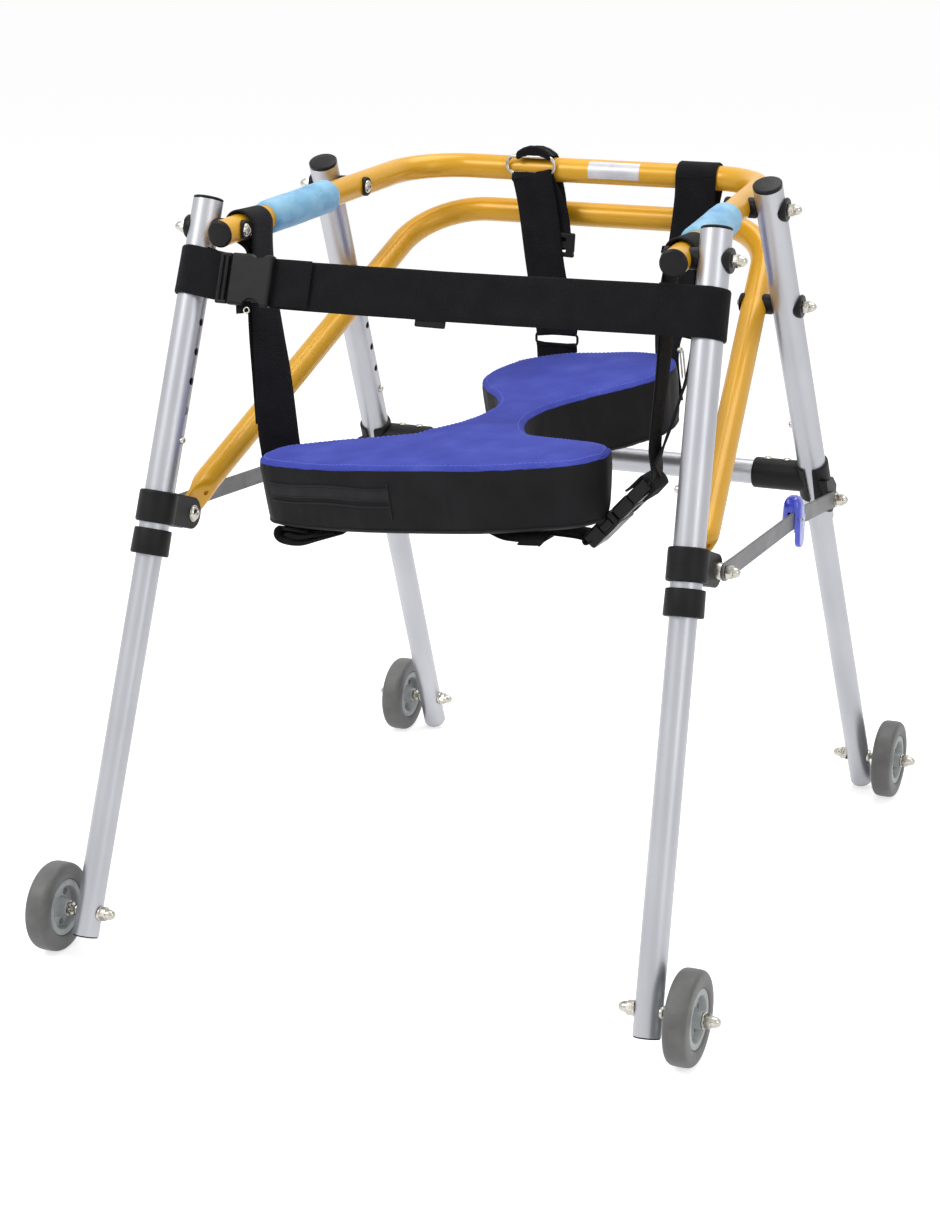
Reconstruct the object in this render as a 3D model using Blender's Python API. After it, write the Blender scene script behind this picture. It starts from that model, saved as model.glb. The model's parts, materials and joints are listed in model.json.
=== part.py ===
import math

import bmesh
import bpy
from mathutils import Matrix, Vector

# driving sizes in metres; X is across the walker, +Y is its rear, Z is up, the floor is z = 0
GAP = 0.0003
FINE = 0.0001
FRONT_PIVOT = (-0.1610, 0.5900)
FRONT_PIVOT_X = 0.2235
FRONT_LEAN = 0.3087
FRONT_SPLAY = 0.0406
FRONT_TOP = 0.0229
FRONT_AXLE = 0.5795
FRONT_LOWER_END = FRONT_AXLE + 0.0203
FRONT_BUTTON = 0.1796
REAR_PIVOT = (0.0428, 0.6075)
REAR_PIVOT_X = FRONT_PIVOT_X - 0.0158
REAR_LEAN = 0.4772
REAR_SPLAY = 0.0389
REAR_TOP = 0.0215
REAR_AXLE = 0.6413
REAR_LOWER_END = REAR_AXLE + 0.0336
REAR_BUTTON = 0.2297
UPPER_R = 0.0127
LOWER_R = 0.0111
WALL = 0.0013
HOLE_PITCH = 0.0250
HOLE_COUNT = 5
HOLE_R = 0.0033
BUTTON_R = 0.0030
OVERLAP_UP = 0.0300
REAR_OVERLAP_UP = 0.0200

RAIL_R = 0.0111
SPACER = 0.0040
RAIL_INSET = RAIL_R + SPACER + UPPER_R
RAIL_FRONT_Y = -0.1809
RAIL_REAR_Y = 0.1646
RAIL_BEND = 0.0580
BRACE_REAR_Y = RAIL_REAR_Y + 0.0199
BRACE_BEND = 0.0700
BRACE_END_IN = 0.0086
BRACE_D_IN = 0.0288
BRACE_KINK = 0.0400
BRACE_KINK_R = 0.0600
BRACE_TAPER = 0.0200
BRACE_FLAT = 0.0050
BRACE_FLAT_W = 0.0260
BRACE_D_T = 0.0987
BRACE_HOLE_R = 0.0067
BRACE_SMALL_HOLE = (0.0260, 0.0022)

CLAMP_T = 0.2372
CLAMP_H = 0.0270
CLAMP_R = UPPER_R + 0.0038
LUG_BACK = 0.0375
LUG_R = 0.0135
LUG_THICK = 0.0034
LUG_OUT = UPPER_R + 0.0004
COLLAR_T = CLAMP_T + 0.0294
COLLAR_H = 0.0220
COLLAR_R = UPPER_R + 0.0033
FRONT_TUBE_END = COLLAR_T + 0.0054
TEE_T = 0.2889
TEE_H = 0.0360
TEE_R = UPPER_R + 0.0023
TEE_REACH = 0.0560
TEE_SLOT_TOP = 0.0090
TEE_SLOT_LOW = 0.0040
STAY_T = TEE_T + 0.0237
STAY_EAR_R = 0.0120
REAR_TUBE_END = STAY_T + 0.0224
CROSS_R = 0.0111
SLEEVE = 0.0029

STAY_LONG = 0.2195
STAY_SLACK = 0.00031
STAY_W = 0.0150
STAY_THICK = 0.0025
STAY_C_OUT = LUG_OUT + 0.0058
STAY_E_OUT = UPPER_R + 0.0036
KNEE_OUT = 0.0100
KNEE_STEP = 0.0030
BOLT_R = 0.0030
NUT_R = 0.0060
WASHER_R = 0.0078
LEVER_HALF = 0.0065

WHEEL_R = 0.0378
WHEEL_W = 0.0190
RIM_R = 0.0240
HUB_HALF = 0.0120
WHEEL_OUT = LOWER_R + HUB_HALF + 0.0083
AXLE_R = 0.0031
WINDOW_R = 0.0032
WINDOW_AT = 0.0135

GRIP_R = 0.0145
GRIP_FRONT_Y = -0.1110
GRIP_REAR_Y = 0.0175
WEB_W = 0.0380
WEB_T = 0.0018
BELT_T = 0.0440
BUCKLE = (0.0460, 0.0100, 0.0440)
BUCKLE_X = -0.1610
SEAT_THICK = 0.0580
SEAT_MID = 0.1500
LOOP_Y = -0.1315
REAR_LOOPS = (-0.0550, 0.0985)
SLIDE_SIZE = (0.0500, 0.0040, 0.0220)
SLIDE_DOWN = 0.1200
ROUND = 12
SMALL = 8


def material(name, colour, metallic, rough):
    made = bpy.data.materials.new(name)
    made.use_nodes = True
    shader = made.node_tree.nodes["Principled BSDF"]
    shader.inputs["Base Color"].default_value = (*colour, 1.0)
    shader.inputs["Metallic"].default_value = metallic
    shader.inputs["Roughness"].default_value = rough
    return made


for old in list(bpy.data.objects):
    bpy.data.objects.remove(old, do_unlink=True)

YELLOW = ("yellow_paint", (0.78, 0.42, 0.03), 0.4, 0.35)
ALUMINIUM = ("satin_aluminium", (0.72, 0.73, 0.75), 1.0, 0.35)
BLACK = ("black_plastic", (0.015, 0.015, 0.017), 0.0, 0.5)
WEBBING = ("black_webbing", (0.012, 0.012, 0.014), 0.0, 0.9)
FOAM = ("blue_foam", (0.20, 0.48, 0.72), 0.0, 0.8)
CLOTH = ("blue_cloth", (0.07, 0.09, 0.45), 0.0, 0.9)
TYRE = ("grey_rubber", (0.14, 0.14, 0.14), 0.0, 0.7)
HUB = ("grey_hub", (0.36, 0.38, 0.38), 0.0, 0.5)
STEEL = ("bright_steel", (0.75, 0.74, 0.70), 1.0, 0.2)
STAY = ("grey_stay", (0.16, 0.16, 0.17), 0.8, 0.4)
LEVER = ("blue_lever", (0.03, 0.06, 0.62), 0.0, 0.2)

BODIES = {}
AT = {}


def body(name, at, parent=None):
    empty = bpy.data.objects.new(name, None)
    empty.empty_display_size = 0.02
    bpy.context.collection.objects.link(empty)
    AT[name] = Vector(at)
    empty.location = AT[name]
    if parent:
        empty.parent = BODIES[parent]
        empty.location = AT[name] - AT[parent]
    BODIES[name] = empty


def link(name, bm, on, matrix):
    bmesh.ops.remove_doubles(bm, verts=bm.verts, dist=1e-6)
    bmesh.ops.recalc_face_normals(bm, faces=bm.faces)
    mesh = bpy.data.meshes.new(name)
    bm.to_mesh(mesh)
    bm.free()
    made = bpy.data.objects.new(name, mesh)
    bpy.context.collection.objects.link(made)
    made.parent = BODIES[on]
    made.matrix_basis = Matrix.Translation(-AT[on]) @ matrix
    return made


def add(name, bm, look, on, matrix=None, round_piece=True):
    made = link(name, bm, on, matrix or Matrix.Identity(4))
    made.data.materials.append(material(name + "_" + look[0], *look[1:]))
    if round_piece:
        made.data.shade_smooth()
        made.data.set_sharp_from_angle(angle=math.radians(35))
    return made


def boolean(target, bm, on, matrix=None, kind="DIFFERENCE"):
    label = "tool_" + target.name + "_" + str(len(target.modifiers))
    tool = link(label, bm, on, matrix or Matrix.Identity(4))
    tool.hide_render = True
    tool.display_type = "WIRE"
    step = target.modifiers.new(label, "BOOLEAN")
    step.operation = kind
    step.solver = "EXACT"
    step.object = tool


def lathe(profile, steps=ROUND, closed=False):
    """A turned piece about local Z from (along, radius) points."""
    bm = bmesh.new()
    verts = [bm.verts.new((radius, 0.0, along)) for along, radius in profile]
    edges = [bm.edges.new(pair) for pair in zip(verts, verts[1:])]
    if closed:
        edges.append(bm.edges.new((verts[-1], verts[0])))
    bmesh.ops.spin(
        bm,
        geom=verts + edges,
        cent=(0, 0, 0),
        axis=(0, 0, 1),
        angle=math.tau,
        steps=steps,
    )
    bmesh.ops.remove_doubles(bm, verts=bm.verts, dist=1e-6)
    return bm


def tube(start, end, outer, inner, steps=ROUND):
    return lathe([(start, inner), (start, outer), (end, outer), (end, inner)], steps, True)


def rod(start, end, radius, steps=SMALL):
    return lathe([(start, 0.0), (start, radius), (end, radius), (end, 0.0)], steps)


def pins(places, radius, length, steps=SMALL):
    """Cylinders along world X in one mesh, each centred on its place."""
    bm = bmesh.new()
    turn = Matrix.Rotation(math.pi / 2, 4, "Y")
    for place in places:
        bmesh.ops.create_cone(
            bm,
            cap_ends=True,
            segments=steps,
            radius1=radius,
            radius2=radius,
            depth=length,
            matrix=Matrix.Translation(place) @ turn,
        )
    return bm


def plate(outline, x0, x1):
    """A closed (y, z) outline pushed along X from x0 to x1."""
    bm = bmesh.new()
    face = bm.faces.new([bm.verts.new((x0, y, z)) for y, z in outline])
    grown = bmesh.ops.extrude_face_region(bm, geom=[face])
    moved = [v for v in grown["geom"] if isinstance(v, bmesh.types.BMVert)]
    bmesh.ops.translate(bm, verts=moved, vec=(x1 - x0, 0, 0))
    return bm


def arc(centre, radius, start, end, steps):
    return [
        (
            centre[0] + radius * math.cos(start + (end - start) * k / steps),
            centre[1] + radius * math.sin(start + (end - start) * k / steps),
        )
        for k in range(steps + 1)
    ]


def box(size, centre=(0, 0, 0), bevel=0.0, steps=1):
    bm = bmesh.new()
    bmesh.ops.create_cube(bm, size=1.0)
    bmesh.ops.scale(bm, vec=size, verts=bm.verts)
    bmesh.ops.translate(bm, vec=centre, verts=bm.verts)
    if bevel:
        bmesh.ops.bevel(bm, geom=bm.edges[:], offset=bevel, segments=steps, affect="EDGES")
    return bm


def loft(rings):
    """A closed body through rings of equally many points, capped at both ends."""
    bm = bmesh.new()
    rows = [[bm.verts.new(point) for point in ring] for ring in rings]
    for low, high in zip(rows, rows[1:]):
        for k in range(len(low)):
            near = (k + 1) % len(low)
            bm.faces.new((low[k], low[near], high[near], high[k]))
    bm.faces.new(rows[0])
    bm.faces.new(rows[-1][::-1])
    return bm


def ribbon(path, width, thick):
    """Webbing along (point, width direction) pairs; both faces share their diagonals and stay thin."""
    bm = bmesh.new()
    points = [Vector(point) for point, _ in path]
    rows = []
    for k, (point, across) in enumerate(zip(points, [Vector(across) for _, across in path])):
        ahead = points[min(k + 1, len(points) - 1)] - points[max(k - 1, 0)]
        side = (across - ahead * across.dot(ahead) / ahead.length_squared).normalized()
        out = ahead.normalized().cross(side)
        corners = ((-1, -1), (1, -1), (1, 1), (-1, 1))
        rows.append([bm.verts.new(point + side * width / 2 * a + out * thick / 2 * b) for a, b in corners])
    for low, high in zip(rows, rows[1:]):
        for a, b in ((0, 1), (1, 2), (3, 2), (0, 3)):
            bm.faces.new((low[a], low[b], high[b]))
            bm.faces.new((low[a], high[b], high[a]))
    bm.faces.new(rows[0])
    bm.faces.new(rows[-1][::-1])
    return bm


def ring_edges(bm, radius, steps):
    made = bmesh.ops.create_circle(bm, cap_ends=False, segments=steps, radius=radius)
    return made["verts"], list({e for v in made["verts"] for e in v.link_edges})


class Bender:
    """Grows a hollow tube from X = 0 in the local XY plane by runs and bends, to be mirrored."""

    def __init__(self, rear, outer, inner, steps=12):
        self.bm = bmesh.new()
        self.rings = []
        for radius in (outer, inner):
            verts, edges = ring_edges(self.bm, radius, steps)
            bmesh.ops.rotate(
                self.bm, verts=verts, cent=(0, 0, 0), matrix=Matrix.Rotation(math.pi / 2, 3, "Y")
            )
            bmesh.ops.translate(self.bm, verts=verts, vec=(0, rear, 0))
            self.rings.append(edges)
        self.at = Vector((0, rear, 0))
        self.heading = Vector((1, 0, 0))

    def verts(self, ring):
        return list({v for e in ring for v in e.verts})

    def run(self, length):
        for k, ring in enumerate(self.rings):
            grown = bmesh.ops.extrude_edge_only(self.bm, edges=ring)["geom"]
            moved = [g for g in grown if isinstance(g, bmesh.types.BMVert)]
            edges = [g for g in grown if isinstance(g, bmesh.types.BMEdge)]
            bmesh.ops.translate(self.bm, verts=moved, vec=self.heading * length)
            self.rings[k] = [e for e in edges if all(v in moved for v in e.verts)]
        self.at = self.at + self.heading * length

    def turn(self, angle, radius, steps):
        side = Vector((-self.heading.y, self.heading.x, 0)) * (1 if angle > 0 else -1)
        centre = self.at + side * radius
        for k, ring in enumerate(self.rings):
            last = bmesh.ops.spin(
                self.bm,
                geom=ring + self.verts(ring),
                cent=centre,
                axis=(0, 0, 1),
                angle=angle,
                steps=steps,
            )["geom_last"]
            self.rings[k] = [g for g in last if isinstance(g, bmesh.types.BMEdge)]
        spin = Matrix.Rotation(angle, 3, "Z")
        self.at = centre + spin @ (self.at - centre)
        self.heading = spin @ self.heading

    def squeeze(self, halves):
        """Presses each ring to a half width (local Z) and a half thickness (across the heading)."""
        across = Vector((-self.heading.y, self.heading.x, 0))
        for ring, (wide, thick) in zip(self.rings, halves):
            found = self.verts(ring)
            radius = max(abs(v.co.z) for v in found)
            for v in found:
                off = v.co - self.at
                along = self.heading * off.dot(self.heading)
                v.co = self.at + along + across * off.dot(across) * thick / radius
                v.co.z = off.z * wide / radius

    def nose(self):
        """Rounds the end over in the flat plane."""
        for ring in self.rings:
            found = self.verts(ring)
            reach = max(abs(v.co.z) for v in found)
            for v in found:
                v.co += self.heading * math.sqrt(max(reach**2 - v.co.z**2, 0.0))

    def close(self):
        """Turns the bore's faces inward, joins bore and outside at the end and mirrors the half."""
        found = {f for v in self.verts(self.rings[1]) for f in v.link_faces}
        edge_of = set(found)
        while edge_of:
            edge_of = {g for f in edge_of for e in f.edges for g in e.link_faces} - found
            found |= edge_of
        bmesh.ops.reverse_faces(self.bm, faces=list(found))
        bmesh.ops.bridge_loops(self.bm, edges=self.rings[0] + self.rings[1])
        geom = self.bm.verts[:] + self.bm.edges[:] + self.bm.faces[:]
        bmesh.ops.mirror(self.bm, geom=geom, axis="X", matrix=Matrix.Identity(4), merge_dist=1e-5)
        bmesh.ops.remove_doubles(self.bm, verts=self.bm.verts, dist=1e-6)
        return self.bm


class Leg:
    def __init__(self, pivot, x, lean, splay, way):
        self.pivot, self.x, self.lean, self.splay, self.way = pivot, x, lean, splay, way

    def at(self, t, side):
        return Vector(
            (
                side * (self.x + self.splay * t),
                self.pivot[0] + self.way * math.sin(self.lean) * t,
                self.pivot[1] - math.cos(self.lean) * t,
            )
        )

    def frame(self, t, side):
        up = (self.at(0, side) - self.at(1, side)).normalized()
        across = (Vector((1, 0, 0)) - up * up.x).normalized()
        back = up.cross(across)
        turn = Matrix((across, back, up)).transposed().to_4x4()
        return Matrix.Translation(self.at(t, side)) @ turn


def outward(place, side):
    """Local Z points away from the middle of the walker, along X."""
    return Matrix.Translation(place) @ Matrix.Rotation(side * math.pi / 2, 4, "Y")


FRONT = Leg(FRONT_PIVOT, FRONT_PIVOT_X, FRONT_LEAN, FRONT_SPLAY, -1)
REAR = Leg(REAR_PIVOT, REAR_PIVOT_X, REAR_LEAN, REAR_SPLAY, 1)
RAIL_SLOPE = math.atan2(REAR_PIVOT[1] - FRONT_PIVOT[1], REAR_PIVOT[0] - FRONT_PIVOT[0])
RAIL_FLARE = math.atan2(FRONT_PIVOT_X - REAR_PIVOT_X, REAR_PIVOT[0] - FRONT_PIVOT[0])
C_Y = FRONT.at(CLAMP_T, 1).y + LUG_BACK * math.cos(FRONT_LEAN)
C_Z = FRONT.at(CLAMP_T, 1).z - LUG_BACK * math.sin(FRONT_LEAN)
D_Y, D_Z = REAR.at(BRACE_D_T, 1).y, REAR.at(BRACE_D_T, 1).z
E_Y, E_Z = REAR.at(STAY_T, 1).y, REAR.at(STAY_T, 1).z
CLAMP_X = FRONT.at(CLAMP_T, 1).x
EAR_X = REAR.at(STAY_T, 1).x
BRACE_END_X = CLAMP_X - BRACE_END_IN
BRACE_D_X = REAR.at(BRACE_D_T, 1).x - BRACE_D_IN
BRACE_REAR_Z = C_Z + (D_Z - C_Z) / (D_Y - C_Y) * (BRACE_REAR_Y - C_Y)
LUG_X = CLAMP_X + LUG_OUT
STAY_C_X = CLAMP_X + STAY_C_OUT
STAY_E_X = EAR_X + STAY_E_OUT
KNEE_LONG_X = STAY_E_X + KNEE_OUT
KNEE_SHORT_X = KNEE_LONG_X - KNEE_STEP
KNEE_TIP_X = KNEE_LONG_X + 0.0058
SPAN = math.hypot(E_Y - C_Y, E_Z - C_Z)
STAY_SHORT = SPAN + STAY_SLACK - STAY_LONG
C_OPEN = math.acos((STAY_LONG**2 + SPAN**2 - STAY_SHORT**2) / (2 * STAY_LONG * SPAN))
LINE = math.atan2(E_Z - C_Z, E_Y - C_Y)
KNEE_Y = C_Y + STAY_LONG * math.cos(LINE + C_OPEN)
KNEE_Z = C_Z + STAY_LONG * math.sin(LINE + C_OPEN)
SIDES = (("left", -1), ("right", 1))

body("rail", (0, FRONT_PIVOT[0], FRONT_PIVOT[1]))
body("front_legs", (0, *FRONT_PIVOT), "rail")
body("rear_legs", (0, *REAR_PIVOT), "rail")
body("brace_body", (0, D_Y, D_Z), "rear_legs")
for word, side in SIDES:
    body("stay_long_body_" + word, (side * STAY_C_X, C_Y, C_Z), "front_legs")
    body("stay_short_body_" + word, (side * STAY_E_X, E_Y, E_Z), "rear_legs")
    body("lever_body_" + word, (side * KNEE_LONG_X, KNEE_Y, KNEE_Z), "stay_long_body_" + word)
    for end, leg, axle, button in (
        ("front", FRONT, FRONT_AXLE, FRONT_BUTTON),
        ("rear", REAR, REAR_AXLE, REAR_BUTTON),
    ):
        label = end + "_" + word
        body("lower_leg_" + label, leg.at(axle, side), end + "_legs")
        hub = leg.at(axle, side) + Vector((side * WHEEL_OUT, 0, 0))
        body("wheel_" + label, hub, "lower_leg_" + label)
        body("snap_" + label, leg.at(button, side), "lower_leg_" + label)


def rail_x(y):
    return FRONT_PIVOT_X - RAIL_INSET - (y - FRONT_PIVOT[0]) * math.tan(RAIL_FLARE)


def rail_z(y):
    return FRONT_PIVOT[1] + (y - FRONT_PIVOT[0]) * math.tan(RAIL_SLOPE)


def rail_frame(y, side):
    """A frame on the centre line of a rail arm, its Z running to the rear."""
    ahead = Vector((-side * math.tan(RAIL_FLARE), 1, math.tan(RAIL_SLOPE))).normalized()
    across = (Vector((1, 0, 0)) - ahead * ahead.x).normalized()
    turn = Matrix((across, ahead.cross(across), ahead)).transposed().to_4x4()
    return Matrix.Translation((side * rail_x(y), y, rail_z(y))) @ turn


FLAT = math.cos(RAIL_SLOPE)
RAIL_DEPTH = (RAIL_REAR_Y - RAIL_FRONT_Y) / FLAT
FLARE = math.atan(math.tan(RAIL_FLARE) * FLAT)
SWEEP = math.pi / 2 - FLARE
RAIL_USED = RAIL_BEND * math.tan(SWEEP / 2)
RAIL_START = Matrix.Translation((0, RAIL_FRONT_Y, rail_z(RAIL_FRONT_Y)))
RAIL_PLACE = RAIL_START @ Matrix.Rotation(RAIL_SLOPE, 4, "X")


def build_rail():
    grow = Bender(RAIL_DEPTH, RAIL_R, RAIL_R - WALL)
    grow.run(rail_x(RAIL_REAR_Y) - RAIL_USED)
    grow.turn(-SWEEP, RAIL_BEND, 6)
    grow.run(RAIL_DEPTH / math.cos(FLARE) - RAIL_USED)
    rail = add("top_rail", grow.close(), YELLOW, "rail", RAIL_PLACE)
    pivots = ((0, *FRONT_PIVOT), (0, *REAR_PIVOT))
    boolean(rail, pins(pivots, BOLT_R + GAP, 4 * UPPER_R + 2 * FRONT_PIVOT_X), "rail")
    for word, side in SIDES:
        bore = RAIL_R - WALL - 2 * GAP
        plug = lathe(
            [
                (-0.0025, 0.0),
                (-0.0025, RAIL_R - 0.0012),
                (-0.0016, RAIL_R),
                (-GAP, RAIL_R),
                (-GAP, bore),
                (0.0080, bore),
                (0.0080, 0.0),
            ]
        )
        add("rail_cap_" + word, plug, BLACK, "rail", rail_frame(RAIL_FRONT_Y, side))
        span = (GRIP_REAR_Y - GRIP_FRONT_Y) / FLAT
        lip = 0.0020
        foam = lathe(
            [
                (0, RAIL_R + GAP),
                (0, GRIP_R - lip),
                (lip, GRIP_R),
                (span - lip, GRIP_R),
                (span, GRIP_R - lip),
                (span, RAIL_R + GAP),
            ],
            ROUND,
            True,
        )
        add("grip_" + word, foam, FOAM, "rail", rail_frame(GRIP_FRONT_Y, side))


def pivot_bolt(name, place, side, on, inner, low, high):
    """Head, shank, spacer, saddle washer and domed nut turned in one, along X from the leg's axis.
    inner is the bar's far face; the spacer runs from low to high."""
    outer = UPPER_R
    profile = [
        (inner - 0.0042, 0.0),
        (inner - 0.0030, 0.0056),
        (inner - 0.0006, 0.0056),
        (inner - 0.0006, BOLT_R),
        (low, BOLT_R),
        (low, WASHER_R),
        (high, WASHER_R),
        (high, BOLT_R),
        (outer + 0.0006, BOLT_R),
        (outer + 0.0006, 0.0085),
        (outer + 0.0026, 0.0080),
        (outer + 0.0026, NUT_R),
        (outer + 0.0085, 0.0058),
        (outer + 0.0128, 0.0032),
        (outer + 0.0140, 0.0),
    ]
    add(name, lathe(profile, SMALL), STEEL, on, outward(place, side))


def build_upper(leg, end, word, side, top, tube_end, button, cap):
    on = end + "_legs"
    turn = leg.frame(0, side)
    outside = tube(-tube_end, top, UPPER_R, LOWER_R + GAP)
    upper = add(end + "_upper_" + word, outside, ALUMINIUM, on, turn)
    bolts = [leg.at(t, side) for t in ((0, BRACE_D_T) if end == "rear" else (0,))]
    boolean(upper, pins(bolts, BOLT_R + GAP, 4 * UPPER_R), on)
    inward = Vector((side * UPPER_R, 0, 0))
    row = [leg.at(button - HOLE_PITCH * k, side) - inward for k in range(HOLE_COUNT)]
    boolean(upper, pins(row, HOLE_R, UPPER_R), on)
    lid = lathe(
        [
            (top - 0.0070, 0.0),
            (top - 0.0070, LOWER_R),
            (top + GAP, LOWER_R),
            (top + GAP, UPPER_R),
            (top + cap - 0.0010, UPPER_R),
            (top + cap, UPPER_R - 0.0015),
            (top + cap, 0.0),
        ]
    )
    add(end + "_cap_" + word, lid, BLACK, on, turn)


def build_lower(leg, end, word, side, top, bottom, axle, button):
    label = end + "_" + word
    on = "lower_leg_" + label
    spot = leg.at(axle, side)
    outside = tube(-bottom, -top, LOWER_R, LOWER_R - WALL)
    lower = add("lower_tube_" + label, outside, ALUMINIUM, on, leg.frame(0, side))
    inner, outer = WHEEL_OUT - HUB_HALF, WHEEL_OUT + HUB_HALF
    bolt = lathe(
        [
            (-LOWER_R - 0.0147, 0.0),
            (-LOWER_R - 0.0125, 0.0040),
            (-LOWER_R - 0.0080, NUT_R),
            (-LOWER_R - 0.0029, NUT_R),
            (-LOWER_R - 0.0029, WASHER_R),
            (-LOWER_R + 0.0006, WASHER_R),
            (-LOWER_R + 0.0006, AXLE_R),
            (LOWER_R - 0.0006, AXLE_R),
            (LOWER_R - 0.0006, NUT_R),
            (inner - GAP, NUT_R),
            (inner - GAP, AXLE_R),
            (outer + GAP, AXLE_R),
            (outer + GAP, NUT_R),
            (outer + 0.0070, NUT_R),
            (outer + 0.0128, 0.0038),
            (outer + 0.0150, 0.0),
        ],
        SMALL,
    )
    boolean(lower, bolt, on, outward(spot, side), "UNION")
    button_at = leg.at(button, side) - Vector((side * LOWER_R, 0, 0))
    boolean(lower, pins([button_at], HOLE_R, 0.006), on)
    knob = lathe(
        [
            (LOWER_R - 0.0039, 0.0),
            (LOWER_R - 0.0039, BUTTON_R + 0.0008),
            (LOWER_R - 0.0025, BUTTON_R + 0.0008),
            (LOWER_R - 0.0025, BUTTON_R),
            (UPPER_R + 0.0015, BUTTON_R),
            (UPPER_R + 0.0026, BUTTON_R - 0.0009),
            (UPPER_R + 0.0030, 0.0),
        ],
        SMALL,
    )
    add("snap_button_" + label, knob, STEEL, "snap_" + label, outward(leg.at(button, side), -side))
    hub_at = spot + Vector((side * WHEEL_OUT, 0, 0))
    half = WHEEL_W / 2
    shoulder = 0.0030
    tyre = lathe(
        [
            (-half, RIM_R + GAP),
            (-half, WHEEL_R - shoulder),
            (-half + shoulder, WHEEL_R),
            (half - shoulder, WHEEL_R),
            (half, WHEEL_R - shoulder),
            (half, RIM_R + GAP),
        ],
        2 * ROUND,
        True,
    )
    add("tyre_" + label, tyre, TYRE, "wheel_" + label, outward(hub_at, side))
    rim, web = half - 0.0006, 0.0030
    core = lathe(
        [
            (-HUB_HALF, AXLE_R + GAP),
            (-HUB_HALF, 0.0070),
            (-web, 0.0092),
            (-web, RIM_R - 0.0062),
            (-rim, RIM_R - 0.0054),
            (-rim, RIM_R),
            (rim, RIM_R),
            (rim, RIM_R - 0.0054),
            (web, RIM_R - 0.0062),
            (web, 0.0092),
            (HUB_HALF, 0.0070),
            (HUB_HALF, AXLE_R + GAP),
        ],
        ROUND,
        True,
    )
    hub = add("hub_" + label, core, HUB, "wheel_" + label, outward(hub_at, side))
    windows = []
    for k in range(5):
        turn = math.tau * k / 5
        windows.append(hub_at + WINDOW_AT * Vector((0, math.sin(turn), math.cos(turn))))
    boolean(hub, pins(windows, WINDOW_R, WHEEL_W, 6), "wheel_" + label)


def build_front(word, side):
    turn = FRONT.frame(CLAMP_T, side)
    sleeve = rod(-CLAMP_H / 2, CLAMP_H / 2, CLAMP_R, ROUND)
    clamp = add("front_clamp_" + word, sleeve, BLACK, "front_legs", turn)
    axis = FRONT.at(CLAMP_T, side)
    back = Vector((0, math.cos(FRONT_LEAN), -math.sin(FRONT_LEAN)))
    up = Vector((0, math.sin(FRONT_LEAN), math.cos(FRONT_LEAN)))
    inner, outer = BRACE_END_X - BRACE_FLAT / 2 - GAP, BRACE_END_X + BRACE_FLAT / 2 + GAP
    for low, high, near in ((inner - LUG_THICK, inner, 0.006), (outer, LUG_X, 0.012)):
        ends = arc((LUG_BACK, 0), LUG_R, -math.pi / 2, math.pi / 2, 8)
        ends += [(near, LUG_R), (near, -LUG_R)]
        outline = [(axis.y + back.y * a + up.y * b, axis.z + back.z * a + up.z * b) for a, b in ends]
        boolean(clamp, plate(outline, side * low, side * high), "front_legs", None, "UNION")
    boolean(clamp, rod(-CLAMP_H, CLAMP_H, UPPER_R + GAP, ROUND), "front_legs", turn)
    bolt = lathe(
        [
            (inner - LUG_THICK - 0.0043, 0.0),
            (inner - LUG_THICK - 0.0043, 0.0042),
            (inner - LUG_THICK - 0.0028, NUT_R),
            (inner - LUG_THICK + 0.0006, NUT_R),
            (inner - LUG_THICK + 0.0006, BOLT_R),
            (LUG_X - 0.0007, BOLT_R),
            (LUG_X - 0.0007, WASHER_R),
            (STAY_C_X - STAY_THICK / 2 - GAP, WASHER_R),
            (STAY_C_X - STAY_THICK / 2 - GAP, BOLT_R),
            (STAY_C_X + STAY_THICK / 2 + GAP, BOLT_R),
            (STAY_C_X + STAY_THICK / 2 + GAP, NUT_R),
            (STAY_C_X + 0.0070, NUT_R),
            (STAY_C_X + 0.0108, 0.0040),
            (STAY_C_X + 0.0125, 0.0),
        ],
        SMALL,
    )
    boolean(clamp, bolt, "front_legs", outward((0, C_Y, C_Z), side), "UNION")
    half = COLLAR_H / 2
    step = COLLAR_T - FRONT_TUBE_END - GAP
    ring = lathe(
        [
            (half, UPPER_R + GAP),
            (half, COLLAR_R - 0.0010),
            (half - 0.0012, COLLAR_R),
            (-half + 0.0012, COLLAR_R),
            (-half, COLLAR_R - 0.0010),
            (-half, LOWER_R + GAP),
            (step, LOWER_R + GAP),
            (step, UPPER_R + GAP),
        ],
        ROUND,
        True,
    )
    add("front_collar_" + word, ring, BLACK, "front_legs", FRONT.frame(COLLAR_T, side))
    rail_in, rail_out = -RAIL_INSET - RAIL_R, -RAIL_INSET + RAIL_R
    spacer = (rail_out + 0.0009, -UPPER_R - 0.0007)
    pivot_bolt("front_pivot_bolt_" + word, FRONT.at(0, side), side, "front_legs", rail_in, *spacer)


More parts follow.
